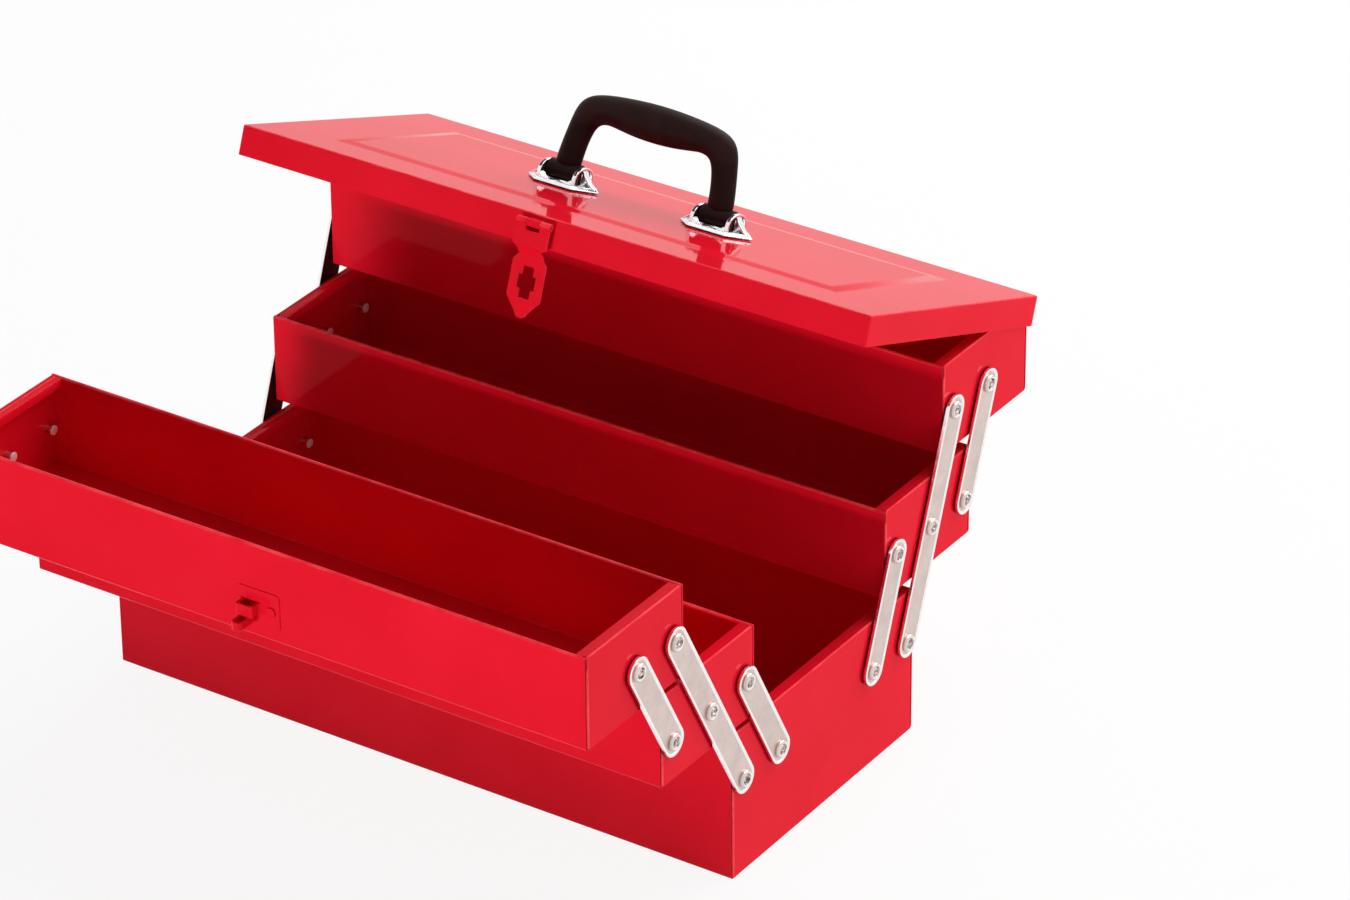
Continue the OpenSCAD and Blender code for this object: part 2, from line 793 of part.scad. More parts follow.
// Outline of the strap and eye plate below the pin, x across, y down as negative
module hasp_outline() {
    half = hasp_width / 2;
    neck = 0.73 * half;
    neck_top = step_top + hasp_step / 3;
    neck_bottom = step_bottom + hasp_step / 5;
    shoulder = step_bottom + 0.19 * hasp_width;
    cheek = hasp_length - half;
    tip = half / 3;
    tip_radius = 0.4 * half;
    chin = hasp_length - 0.6 * tip_radius;
    polygon([[-half, 0], [half, 0], [half, -step_top], [neck, -neck_top],
             [neck, -neck_bottom], [half, -shoulder], [half, -cheek],
             [tip, -chin], [-tip, -chin],
             [-half, -cheek], [-half, -shoulder], [-neck, -neck_bottom],
             [-neck, -neck_top], [-half, -step_top]]);
    translate([0, -hasp_length + tip_radius]) circle(r = tip_radius);
}

// Side view of the hasp: strap in front of the skirt, step back, eye plate
module hasp_section() {
    strap = -hasp_knuckle;
    eye = -half_depth - staple_sheet - 0.7 - hasp_sheet - hasp_axis_y;
    polygon([[strap, 0], [strap, -step_top], [eye, -step_bottom], [eye, -hasp_length - 1],
             [eye + hasp_sheet, -hasp_length - 1], [eye + hasp_sheet, -step_bottom],
             [strap + hasp_sheet, -step_top], [strap + hasp_sheet, 0]]);
}

module hasp_leaf() {
    window = fixed_knuckle + 2 * knuckle_gap;
    color(painted) on_hasp() translate([hasp_offset, hasp_axis_y, hasp_axis_z]) difference() {
        union() {
            intersection() {
                rotate([90, 0, 90]) linear_extrude(hasp_width, center = true) hasp_section();
                rotate([90, 0, 0]) linear_extrude(40, center = true) hasp_outline();
            }
            hasp_barrel(hasp_width);
        }
        rotate([0, 90, 0])
            cylinder(r = hasp_pin / 2 + pivot_play, h = hasp_width + 2, center = true);
        translate([-window / 2, -2 * hasp_knuckle, -hasp_knuckle - 2])
            cube([window, 4 * hasp_knuckle, 2 * hasp_knuckle + 4]);
        for (opening = [[slot_width, slot_height], [notch_width, notch_height]])
            translate([-opening[0] / 2, -10, -slot_drop - opening[1] / 2])
                cube([opening[0], 20, opening[1]]);
    }
}

// ---- Staple on the front top tray ----

// Axes of the staple rivets, pointing rearwards from the face of the plate
module at_staple_rivets() {
    for (place = [0, staple_right - 6])
        translate([hasp_offset + place, -half_depth - staple_sheet, staple_z])
            rotate([-90, 0, 0]) children();
}

// Plate with a strap loop and, under the loop, a rounded nose
module hasp_staple() {
    wall = 1.6;
    loop_width = notch_width - 2 * slot_play;
    loop_height = notch_height - 2 * slot_play;
    nose_width = slot_width - 2 * slot_play;
    nose_bottom = slot_height / 2 - slot_play;
    nose_height = nose_bottom - loop_height / 2;
    color(painted) on_tray(FRONT, TOP) difference() {
        translate([hasp_offset, -half_depth, staple_z]) union() {
            translate([-staple_left, -staple_sheet, -staple_height / 2])
                cube([staple_left + staple_right, staple_sheet, staple_height]);
            difference() {
                translate([-loop_width / 2, -loop_reach, -loop_height / 2])
                    cube([loop_width, loop_reach, loop_height]);
                translate([-loop_width / 2 + wall, -loop_reach + wall, -loop_height])
                    cube([loop_width - 2 * wall, loop_reach, 2 * loop_height]);
            }
            translate([-nose_width / 2, -nose_reach + nose_width / 2, -nose_bottom])
                cube([nose_width, nose_reach - nose_width / 2, nose_height]);
            translate([0, -nose_reach + nose_width / 2, -nose_bottom])
                cylinder(d = nose_width, h = nose_height);
        }
        at_staple_rivets() translate([0, 0, -1])
            cylinder(d = small_rivet + 2 * fit, h = staple_sheet + 2);
    }
}

// Rivets that end a little below the face of the staple plate, heads inside the tray
module staple_rivets() {
    sunk = 0.6;
    color(zinc) on_tray(FRONT, TOP) at_staple_rivets()
        translate([0, 0, staple_sheet + sheet])
            small_rivet_body(staple_sheet + sheet - sunk, 0);
}

base_shell();
base_end(LEFT);  // base_left_end
base_end(RIGHT);  // base_right_end
base_pivot_washers();
base_pivot_rivets();
tray_shell(FRONT, MIDDLE);  // front_middle_tray
tray_end(FRONT, MIDDLE, LEFT);  // front_middle_left_end
tray_end(FRONT, MIDDLE, RIGHT);  // front_middle_right_end
tray_washers(FRONT, MIDDLE);  // front_middle_washers
tray_rivets(FRONT, MIDDLE);  // front_middle_rivets
front_top_tray();
tray_end(FRONT, TOP, LEFT);  // front_top_left_end
tray_end(FRONT, TOP, RIGHT);  // front_top_right_end
tray_washers(FRONT, TOP);  // front_top_washers
tray_rivets(FRONT, TOP);  // front_top_rivets
tray_shell(REAR, MIDDLE);  // rear_middle_tray
tray_end(REAR, MIDDLE, LEFT);  // rear_middle_left_end
tray_end(REAR, MIDDLE, RIGHT);  // rear_middle_right_end
tray_washers(REAR, MIDDLE);  // rear_middle_washers
tray_rivets(REAR, MIDDLE);  // rear_middle_rivets
rear_top_tray();
tray_end(REAR, TOP, LEFT);  // rear_top_left_end
tray_end(REAR, TOP, RIGHT);  // rear_top_right_end
tray_washers(REAR, TOP);  // rear_top_washers
tray_rivets(REAR, TOP);  // rear_top_rivets
long_link(FRONT, LEFT);  // front_left_long_link
long_link(FRONT, RIGHT);  // front_right_long_link
lower_link(FRONT, LEFT);  // front_left_lower_link
lower_link(FRONT, RIGHT);  // front_right_lower_link
upper_link(FRONT, LEFT);  // front_left_upper_link
upper_link(FRONT, RIGHT);  // front_right_upper_link
long_link(REAR, LEFT);  // rear_left_long_link
long_link(REAR, RIGHT);  // rear_right_long_link
lower_link(REAR, LEFT);  // rear_left_lower_link
lower_link(REAR, RIGHT);  // rear_right_lower_link
upper_link(REAR, LEFT);  // rear_left_upper_link
upper_link(REAR, RIGHT);  // rear_right_upper_link
lid_shell();
lid_hinge_leaves();
tray_hinge_leaves();
lid_hinge_pins();
lid_leaf_rivets();
tray_leaf_rivets();
handle_bracket(LEFT);  // left_handle_bracket
handle_bracket(RIGHT);  // right_handle_bracket
bracket_rivets();
handle_pins();
handle_grip();
hasp_hinge_plate();
hasp_hinge_pin();
hasp_leaf();
hasp_staple();
staple_rivets();
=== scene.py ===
import json
import math

import bmesh
import bpy
from bpy.props import FloatProperty, FloatVectorProperty, IntProperty, PointerProperty
from mathutils import Matrix, Vector

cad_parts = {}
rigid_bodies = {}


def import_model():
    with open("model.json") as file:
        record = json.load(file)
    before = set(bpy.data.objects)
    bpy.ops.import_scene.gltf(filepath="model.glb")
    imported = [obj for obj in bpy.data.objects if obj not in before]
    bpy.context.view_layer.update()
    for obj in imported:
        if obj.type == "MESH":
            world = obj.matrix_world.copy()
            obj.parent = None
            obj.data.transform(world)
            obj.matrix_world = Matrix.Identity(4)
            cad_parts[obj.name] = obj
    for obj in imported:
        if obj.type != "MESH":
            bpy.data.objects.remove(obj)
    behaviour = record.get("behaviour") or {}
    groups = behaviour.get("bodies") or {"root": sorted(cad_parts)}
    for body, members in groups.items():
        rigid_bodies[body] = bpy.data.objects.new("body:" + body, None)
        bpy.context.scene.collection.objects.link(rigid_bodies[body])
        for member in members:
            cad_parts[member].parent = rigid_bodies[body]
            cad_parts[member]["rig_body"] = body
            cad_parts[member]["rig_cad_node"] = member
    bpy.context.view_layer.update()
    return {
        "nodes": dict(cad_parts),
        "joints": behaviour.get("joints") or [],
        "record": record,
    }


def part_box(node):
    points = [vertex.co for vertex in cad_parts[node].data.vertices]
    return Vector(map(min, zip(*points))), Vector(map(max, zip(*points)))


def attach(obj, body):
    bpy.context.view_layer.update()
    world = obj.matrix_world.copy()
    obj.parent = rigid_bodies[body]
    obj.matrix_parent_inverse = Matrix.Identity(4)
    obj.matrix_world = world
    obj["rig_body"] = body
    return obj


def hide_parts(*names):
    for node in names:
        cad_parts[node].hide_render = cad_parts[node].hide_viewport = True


bl_info = {
    "name": "Cantilever Tool Box",
    "version": (1, 0, 0),
    "blender": (4, 5, 0),
    "location": "View3D > Sidebar > Tool Box",
    "description": "Dresses the steel tool box with folded sheet, links, lid, handle and finishes",
    "category": "Object",
}

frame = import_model()
JOINTS = {joint["name"]: joint for joint in frame["joints"]}

MM = 0.001
TINY = 0.00002
SIDES = ("front", "rear")
ENDS = ("left", "right")
TRAYS = [f"{side}_{tier}" for side in SIDES for tier in ("middle", "top")]
RED, ZINC, CHROME, BLACK = "red_paint", "zinc", "chrome", "handle_black"


# ---- Sizes and colours a user can change ----


def length(name, description, default, low=0.1, high=60.0):
    """A size property in metres, its default and limits given in millimetres."""
    return FloatProperty(
        name=name,
        description=description,
        default=default * MM,
        min=low * MM,
        max=high * MM,
        unit="LENGTH",
        precision=5,
    )


def colour(name, description, default):
    return FloatVectorProperty(
        name=name,
        description=description,
        default=default,
        min=0.0,
        max=1.0,
        size=3,
        subtype="COLOR",
    )


class ToolBoxSizes(bpy.types.PropertyGroup):
    """Sizes of the folded sheet and the fittings."""

    sheet: length("Sheet", "Thickness of the body sheet", 1.0)
    bend: length("Bend", "Outer radius of the folded bottom edges", 2.0)
    hem_width: length("Hem width", "Thickness of the turned-in hem of a long wall", 2.8)
    hem_drop: length("Hem drop", "Depth of the turned-in hem", 8.0)
    seam: length("Seam", "Width of the seam beside a corner", 1.2)
    rim_round: length("Rim rounding", "Radius of the outer edge of an end rim", 1.05)
    ledge: length("Ledge", "Width of the raised outer part of an end rim", 3.2)
    ledge_drop: length("Ledge drop", "Step from that part down to the rest of the rim", 0.5)
    rim_lip: length("Rim lip", "Depth of the lip at the inner side of an end rim", 6.0)
    cut_edge: length("Cut edge", "Rounding of cut sheet edges", 0.22)
    link_border: length("Link border", "Width of the raised border of a link", 1.7)
    link_recess: length("Link recess", "Depth of a link's face inside its border", 0.5)
    panel_step: length("Panel step", "Rise of the solid lid's panel", 1.8)
    panel_length: length("Panel length", "Length of the lid's raised panel", 355.0, 100, 440)
    panel_depth: length("Panel depth", "Depth of the lid's raised panel", 126.0, 50, 190)
    panel_slope: length("Panel slope", "Width of the panel's sloped edge", 7.0)
    panel_rise: length("Panel rise", "Rise of the panel above the lid", 1.1)
    lid_crown: length("Lid crown", "Rounding of the lid's upper edges", 1.1)
    grip_sides: IntProperty(
        name="Grip sides",
        description="Corners of each ring that the handle is lofted from",
        default=16,
        min=8,
        max=32,
    )


class ToolBoxFinishes(bpy.types.PropertyGroup):
    """Colours and gloss of the finishes."""

    paint: colour("Paint", "Colour of the painted sheet", (0.80, 0.008, 0.026))
    paint_deep: colour("Deep paint", "Paint where it lies thicker", (0.74, 0.005, 0.020))
    # A lighter red that stands in for the highlights on rounded edges: a painted highlight
    edge: colour("Edge paint", "Paint on the folded edges", (0.95, 0.06, 0.075))
    plating: colour("Plating", "Colour of the plated links", (0.73, 0.60, 0.56))
    bright: colour("Bright plating", "Colour of the bright pressings", (0.86, 0.86, 0.87))
    plastic: colour("Plastic", "Colour of the moulded handle", (0.010, 0.0035, 0.003))
    floor: colour("Floor", "Colour of the ground under the box", (0.85, 0.85, 0.85))
    paint_roughness: FloatProperty(
        name="Paint roughness",
        description="Roughness of the paint",
        default=0.06,
        min=0.0,
        max=1.0,
        subtype="FACTOR",
    )


def sizes():
    return bpy.context.scene.tool_box_sizes


def finishes():
    return bpy.context.scene.tool_box_finishes


# ---- Places, read from the frame ----


def turned(point, angle):
    """The turn by an angle about an X axis through a point."""
    point = Vector(point)
    return Matrix.Translation(point) @ Matrix.Rotation(angle, 4, "X") @ Matrix.Translation(-point)


def lid_place():
    """Carries what is drawn level to the lid as it stands open."""
    hinge = JOINTS["lid_hinge"]
    return turned(hinge["pos_m"], math.radians(hinge["range_deg"][0]))


def handle_place():
    """Carries what is drawn square to the X axis at the handle pins to the handle."""
    swing = JOINTS["handle_swing"]
    lean = sum(swing["range_deg"]) / 2
    tilt = JOINTS["lid_hinge"]["range_deg"][0]
    return turned(swing["pos_m"], math.radians(tilt + lean))


def span(piece, place=Matrix()):
    """Lowest and highest corner of a piece, seen in the frame that place carries from."""
    back = place.inverted()
    corners = [back @ vertex.co for vertex in piece.data.vertices]
    low = Vector([min(corner[axis] for corner in corners) for axis in range(3)])
    high = Vector([max(corner[axis] for corner in corners) for axis in range(3)])
    return low, high


def level_box(node, place):
    return span(frame["nodes"][node], place)


def pivot(name):
    return Vector(JOINTS[name]["pos_m"])


def link_step(side):
    """The run from one pivot of a link to the next, on one side of the box."""
    return pivot(f"{side}_middle_tray_pivot") - pivot(f"{side}_fold")


def link_angle(side):
    step = link_step(side)
    return math.atan2(-step.y, step.z)


# ---- Modelling ----


def deselect_all():
    bpy.ops.object.select_all(action="DESELECT")


def activate(piece):
    deselect_all()
    piece.select_set(True)
    bpy.context.view_layer.objects.active = piece


def rename(piece, name):
    piece.name = name
    piece.data.name = name
    return piece


def new_piece(name):
    """Names the primitive just added and puts its place in its mesh."""
    piece = rename(bpy.context.object, name)
    bpy.ops.object.transform_apply(location=True, rotation=True, scale=True)
    return piece


def add_block(name, low, high):
    deselect_all()
    low, high = Vector(low), Vector(high)
    bpy.ops.mesh.primitive_cube_add(size=1, location=(low + high) / 2, scale=high - low)
    return new_piece(name)


def add_rod(name, center, radius, depth, axis="X", sides=48):
    deselect_all()
    turn = {"X": (0, math.pi / 2, 0), "Y": (math.pi / 2, 0, 0)}[axis]
    bpy.ops.mesh.primitive_cylinder_add(
        vertices=sides, radius=radius, depth=depth, location=center, rotation=turn
    )
    return new_piece(name)


def add_plate(name, points, run):
    """A plate with the given corners, pulled out by a run. All in millimetres."""
    deselect_all()
    bpy.ops.mesh.primitive_circle_add(vertices=len(points), radius=MM, fill_type="NGON")
    piece = new_piece(name)
    for vertex, point in zip(piece.data.vertices, points):
        vertex.co = Vector(point) * MM
    edit(piece)
    select_whole()
    pull(*(Vector(run) * MM))
    face_outwards()
    leave_edit()
    return piece


def edit(piece):
    activate(piece)
    bpy.ops.object.mode_set(mode="EDIT")


def leave_edit():
    bpy.ops.object.mode_set(mode="OBJECT")


def select_whole():
    bpy.ops.mesh.select_all(action="SELECT")


def face_outwards():
    select_whole()
    bpy.ops.mesh.normals_make_consistent(inside=False)


def merge_flats():
    """Merges faces that lie in one plane."""
    select_whole()
    bpy.ops.mesh.dissolve_limited(angle_limit=math.radians(1))


def middle(edge):
    return (edge.verts[0].co + edge.verts[1].co) / 2


def runs_along(edge, axis):
    run = edge.verts[1].co - edge.verts[0].co
    return abs(run[axis]) > 0.999 * run.length


def near(value, target):
    return abs(value - target) < TINY


def pick(piece, kind, test):
    """Selects only the corners, edges or faces that pass the test. Needs edit mode."""
    bpy.ops.mesh.select_mode(type=kind)
    bpy.ops.mesh.select_all(action="DESELECT")
    shape = bmesh.from_edit_mesh(piece.data)
    parts = {"VERT": shape.verts, "EDGE": shape.edges, "FACE": shape.faces}[kind]
    for part in parts:
        if test(part):
            part.select_set(True)
    shape.select_flush_mode()
    bmesh.update_edit_mesh(piece.data)


def pick_edges(piece, axis, test):
    """Selects the edges along an axis whose middle passes the test."""
    pick(piece, "EDGE", lambda edge: runs_along(edge, axis) and test(middle(edge)))


def pull(x=0.0, y=0.0, z=0.0):
    """Extrudes what is selected by the given run."""
    bpy.ops.mesh.extrude_region_move(TRANSFORM_OT_translate={"value": (x, y, z)})


def move(x=0.0, y=0.0, z=0.0):
    bpy.ops.transform.translate(value=(x, y, z))


def cut(axis, place):
    """Cuts the whole piece square to an axis and keeps both halves."""
    square = [float(axis == other) for other in range(3)]
    select_whole()
    bpy.ops.mesh.bisect(plane_co=[place * share for share in square], plane_no=square)


def round_edges(radius, segments):
    bpy.ops.mesh.bevel(offset=radius, segments=segments, affect="EDGES", clamp_overlap=True)


def apply_modifier(piece, kind, **settings):
    activate(piece)
    modifier = piece.modifiers.new(kind.title(), kind)
    for setting, value in settings.items():
        setattr(modifier, setting, value)
    bpy.ops.object.modifier_apply(modifier=modifier.name)


def open_block(name, low, high, test):
    """A block without the faces that pass the test, left in edit mode."""
    block = add_block(name, low, high)
    edit(block)
    pick(block, "FACE", test)
    bpy.ops.mesh.delete(type="FACE")
    return block


def finish_sheet(skin):
    """Gives an outer skin its sheet thickness, inwards, and rounds the cut edges."""
    size = sizes()
    leave_edit()
    apply_modifier(skin, "SOLIDIFY", thickness=size.sheet, offset=-1, use_even_offset=True)
    soften(skin, size.cut_edge)
    smooth(skin)


def sink(thickness, x=0.0, y=0.0, z=0.0):
    """Insets the selected face and moves it."""
    bpy.ops.mesh.inset(thickness=thickness)
    move(x, y, z)


def punch(piece, width, top, bottom):
    """Cuts a slot through an upright plate. All in millimetres."""
    reach = 10 * MM
    low, high = (-width / 2 * MM, -reach, bottom * MM), (width / 2 * MM, reach, top * MM)
    tool = add_block("punch", low, high)
    apply_modifier(piece, "BOOLEAN", object=tool, operation="DIFFERENCE", solver="EXACT")
    delete_piece(tool)


def press(piece, test, *steps):
    """Insets the faces that pass the test, each step an inset and a run in millimetres."""
    edit(piece)
    pick(piece, "FACE", test)
    for thickness, *run in steps:
        sink(thickness * MM, *(part * MM for part in run))
    leave_edit()


def soften(piece, width, segments=2, angle=40):
    apply_modifier(
        piece,
        "BEVEL",
        width=width,
        segments=segments,
        limit_method="ANGLE",
        angle_limit=math.radians(angle),
        use_clamp_overlap=True,
    )


def smooth(piece, angle=35):
    """Shades roundings smooth and keeps flat faces flat."""
    activate(piece)
    bpy.ops.object.shade_smooth_by_angle(angle=math.radians(angle))
    apply_modifier(piece, "WEIGHTED_NORMAL", keep_sharp=True)


def assemble(parts, name, width, segments, angle, place=None):
    """Joins parts, rounds their edges by a width in millimetres and carries them to a place."""
    form = join(parts, name)
    soften(form, width * MM, segments, angle)
    smooth(form, 40)
    if place is not None:
        settle(form, place)
    return form


def join(pieces, name):
    deselect_all()
    for piece in pieces:
        piece.select_set(True)
    bpy.context.view_layer.objects.active = pieces[0]
    bpy.ops.object.join()
    return rename(bpy.context.object, name)


def copied(piece, name, place=None):
    """A copy with its own mesh, carried to its place."""
    copy = piece.copy()
    copy.data = piece.data.copy()
    rename(copy, name)
    bpy.context.scene.collection.objects.link(copy)
    if place is not None:
        settle(copy, place)
    return copy


def settle(piece, place):
    """Carries a piece to its place and leaves its object at the origin."""
    activate(piece)
    piece.matrix_world = place
    bpy.ops.object.transform_apply(location=True, rotation=True, scale=True)
    if place.determinant() < 0:
        edit(piece)
        face_outwards()
        leave_edit()


def delete_piece(piece):
    bpy.data.objects.remove(piece)


def softened_copy(node, name, width):
    """A node's own form with merged faces and rounded edges."""
    copy = copied(frame["nodes"][node], name)
    copy.parent = None
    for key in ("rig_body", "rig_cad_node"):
        if key in copy:
            del copy[key]
    edit(copy)
    select_whole()
    bpy.ops.mesh.remove_doubles(threshold=TINY / 4)
    merge_flats()
    leave_edit()
    soften(copy, width, 2, 30)
    smooth(copy)
    return copy


def body_of(node):
    for body, nodes in frame["record"]["behaviour"]["bodies"].items():
        if node in nodes:
            return body
    raise RuntimeError(f"no body holds {node}")


def finish_of(node):
    """The finish that the record gives a solid."""
    parts = frame["record"]["subparts"]
    return next(part["material_slot"] for part in parts if part["node"] == node)


def dress(piece, finish, node):
    """Gives a finished piece its finish, and its place in the frame for the node it stands for."""
    piece.data.materials.clear()
    piece.data.materials.append(MATERIALS[finish]())
    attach(piece, body_of(node))
    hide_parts(node)


def touch_up(piece, material, test):
    """Gives the faces that pass the test another finish."""
    piece.data.materials.append(material)
    last = len(piece.data.materials) - 1
    for face in piece.data.polygons:
        if test(face):
            face.material_index = last


# ---- Finishes ----


def add_node(tree, kind, inputs=(), **settings):
    """A shader node with its inputs set to the values or linked to the outputs given."""
    node = tree.nodes.new(f"ShaderNode{kind}")
    for setting, value in settings.items():
        setattr(node, setting, value)
    for key, value in dict(inputs).items():
        if isinstance(value, bpy.types.NodeSocket):
            tree.links.new(value, node.inputs[key])
        else:
            node.inputs[key].default_value = value
    return node


def new_material(name):
    """A material with an emptied node tree and its Object coordinates."""
    material = bpy.data.materials.new(name)
    material.use_nodes = True
    tree = material.node_tree
    tree.nodes.clear()
    return material, tree, add_node(tree, "TexCoord").outputs["Object"]


def noise(tree, place, scale, detail, stretch=(1, 1, 1)):
    """Noise on Object coordinates. Its scale is in cells per metre."""
    mapping = add_node(tree, "Mapping", {"Vector": place, "Scale": stretch})
    inputs = {"Vector": mapping.outputs["Vector"], "Scale": scale, "Detail": detail}
    return add_node(tree, "TexNoise", inputs).outputs["Fac"]


def ramp(tree, value, low, high):
    """A value carried from the middle range of noise to the range low to high."""
    inputs = {"Value": value, "From Min": 0.3, "From Max": 0.7, "To Min": low, "To Max": high}
    return add_node(tree, "MapRange", inputs).outputs["Result"]


def mixed(tree, factor, first, second):
    """A colour between two tones."""
    inputs = {"Factor": factor, 6: (*first, 1), 7: (*second, 1)}
    return add_node(tree, "Mix", inputs, data_type="RGBA").outputs[2]


def bumped(tree, height, strength, distance):
    inputs = {"Height": height, "Strength": strength, "Distance": distance}
    return add_node(tree, "Bump", inputs).outputs["Normal"]


def shade(tone, factor):
    return tuple(channel * factor for channel in tone)


def surface(name, tones, cloud, gloss=None, relief=None, metallic=0.0, specular=0.5):
    """A finish of two tones in a cloudy mix, made once and then found by its name.

    Each noise is given as its scale and detail, the gloss as a noise with its lowest and
    highest roughness, and the relief as a noise with its strength and distance.
    """
    if name in bpy.data.materials:
        return bpy.data.materials[name]
    material, tree, place = new_material(name)
    blend = ramp(tree, noise(tree, place, *cloud), 0, 1)
    inputs = {"Base Color": mixed(tree, blend, *tones)}
    inputs.update({"Metallic": metallic, "Specular IOR Level": specular})
    if gloss:
        grain, low, high = gloss
        inputs["Roughness"] = ramp(tree, noise(tree, place, *grain), low, high)
    if relief:
        grain, strength, distance = relief
        inputs["Normal"] = bumped(tree, noise(tree, place, *grain), strength, distance)
    shader = add_node(tree, "BsdfPrincipled", inputs)
    add_node(tree, "OutputMaterial", {"Surface": shader.outputs["BSDF"]})
    return material


def red_paint():
    """Gloss paint on sheet steel, with a faint orange peel and thicker patches."""
    look = finishes()
    rough = look.paint_roughness
    gloss = ((45, 4), 0.75 * rough, 1.3 * rough)
    peel = ((420, 2), 0.04, 0.0003)
    return surface(
        "gloss_paint", (look.paint, look.paint_deep), (14, 3), gloss, peel, specular=0.036
    )


def plated_steel():
    """Bright plated strip with fine drawing lines and a cloudy sheen."""
    tone = finishes().plating
    lines = (900, 2, (1, 1, 0.06))
    gloss, relief = (lines, 0.24, 0.36), (lines, 0.05, 0.0002)
    return surface("plated_strip", (tone, shade(tone, 0.86)), (90, 3), gloss, relief, 1.0)


def bright_plating():
    """Mirror-bright pressings with slight ripples from the press."""
    tone = finishes().bright
    gloss, ripple = ((240, 2), 0.12, 0.26), ((300, 1), 0.3, 0.0004)
    return surface("bright_pressing", (tone, shade(tone, 0.9)), (160, 2), gloss, ripple, 1.0)


def black_plastic():
    """Satin black moulding with a fine spark-eroded grain."""
    tone = finishes().plastic
    tones = (tone, shade(tone, 1.8))
    gloss, grain = ((110, 3), 0.36, 0.5), ((2200, 2), 0.12, 0.0002)
    return surface("satin_plastic", tones, (60, 3), gloss, grain, specular=0.08)


def painted_seam_shade():
    """Dark paint standing in for the shade in a seam, where little light reaches: painted shade."""
    tone = finishes().paint_deep
    return surface("painted_seam_shade", (shade(tone, 0.4), shade(tone, 0.25)), (120, 3), specular=0.05)


def painted_edge_highlight():
    """A lighter red on folded and rounded edges, a painted highlight."""
    look = finishes()
    gloss = ((90, 2), 0.2, 0.35)
    return surface("painted_edge_highlight", (look.edge, look.paint), (60, 3), gloss, specular=0.12)


def mark(name):
    """A mark of use on a metal fitting, by its name in MARKS."""
    bright, dull, scale, low, high, metallic = MARKS[name]
    cloud = (scale, 3)
    relief = ((700, 2), 0.05, 0.0002)
    return surface(name, (bright, dull), cloud, (cloud, low, high), relief, metallic)


MATERIALS = {RED: red_paint, ZINC: plated_steel, CHROME: bright_plating, BLACK: black_plastic}

# Marks on the fittings: bright and dull tone, noise scale, lowest and highest roughness and the
# metallic share. The borders of links and a ring of each rivet head carry a painted highlight, the
# backs of links and the hollows of brackets carry painted shade, the middles of the heads carry
# mottled painted shade, and the tails inside the trays are matt and painted whiter as a painted
# highlight.
MARKS = {
    "painted_metal_highlight": ((0.95, 0.93, 0.92), (0.88, 0.85, 0.84), 300, 0.12, 0.24, 1.0),
    "painted_metal_shade": ((0.11, 0.075, 0.07), (0.03, 0.018, 0.016), 700, 0.3, 0.5, 1.0),
    "painted_dish_shade": ((0.86, 0.74, 0.7), (0.05, 0.025, 0.022), 420, 0.25, 0.4, 1.0),
    "painted_tail_highlight": ((0.95, 0.93, 0.92), (0.85, 0.82, 0.8), 300, 0.3, 0.45, 0.2),
}


# ---- Folded sheet ----


def fold_hem(shell, outer_y, inwards, top):
    """Turns the top edge of a long wall in and down, and rounds the fold."""
    size = sizes()
    reach = size.hem_width + TINY
    pick_edges(shell, 0, lambda spot: near(spot.z, top) and near(spot.y, outer_y))
    pull(y=inwards * size.hem_width)
    pull(z=-size.hem_drop)
    pick_edges(shell, 0, lambda spot: near(spot.z, top) and abs(spot.y - outer_y) < reach)
    round_edges(size.hem_width * 0.49, 5)


def folded_shell(node):
    """Front wall, floor and rear wall folded from one sheet, with hemmed tops."""
    size = sizes()
    low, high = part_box(node)
    shell = open_block(
        f"{node}_sheet", low, high, lambda face: abs(face.normal.x) > 0.9 or face.normal.z > 0.9
    )
    pick_edges(shell, 0, lambda spot: near(spot.z, low.z))
    round_edges(size.bend, 5)
    fold_hem(shell, low.y, 1, high.z)
    fold_hem(shell, high.y, -1, high.z)
    finish_sheet(shell)
    return shell


def shade_seams(shell):
    """Paints shade on the cut ends of a shell's front wall and paints a highlight on its hem tops.
    """
    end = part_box("base_shell")[1].x - 0.05 * MM
    low, high = span(shell)
    front, top = low.y + 1.2 * sizes().sheet, high.z - 0.9 * MM
    # Painted shade on the cut ends of the front wall beside the corners
    touch_up(
        shell, painted_seam_shade(), lambda face: abs(face.center.x) > end and face.center.y < front
    )
    # Painted highlight along the hem tops
    touch_up(shell, painted_edge_highlight(), lambda face: face.center.z > top and face.normal.z > 0.3)


def brighten_rim(wall):
    """Paints a lighter highlight on the outer and inner edge of an end rim."""
    size = sizes()
    low, high = span(wall)
    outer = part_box("base_shell")[1].x
    ledge = outer - size.ledge

    def on_outer_edge(face):
        spot, normal = face.center, face.normal
        on_top = normal.z > 0.15 and spot.z > high.z - size.rim_round
        on_front = spot.y < low.y + 2 * size.seam
        turned_out = abs(spot.x) > outer - 1.1 * size.rim_round and abs(normal.x) > 0.2
        return turned_out and (on_top or on_front)

    def on_step(face):
        return abs(abs(face.center.x) - ledge) < 0.4 * MM and face.center.z > high.z - 0.6 * MM

    # Painted highlight on the outer edge and on the step of the rim
    touch_up(wall, painted_edge_highlight(), on_outer_edge)
    touch_up(wall, painted_edge_highlight(), on_step)


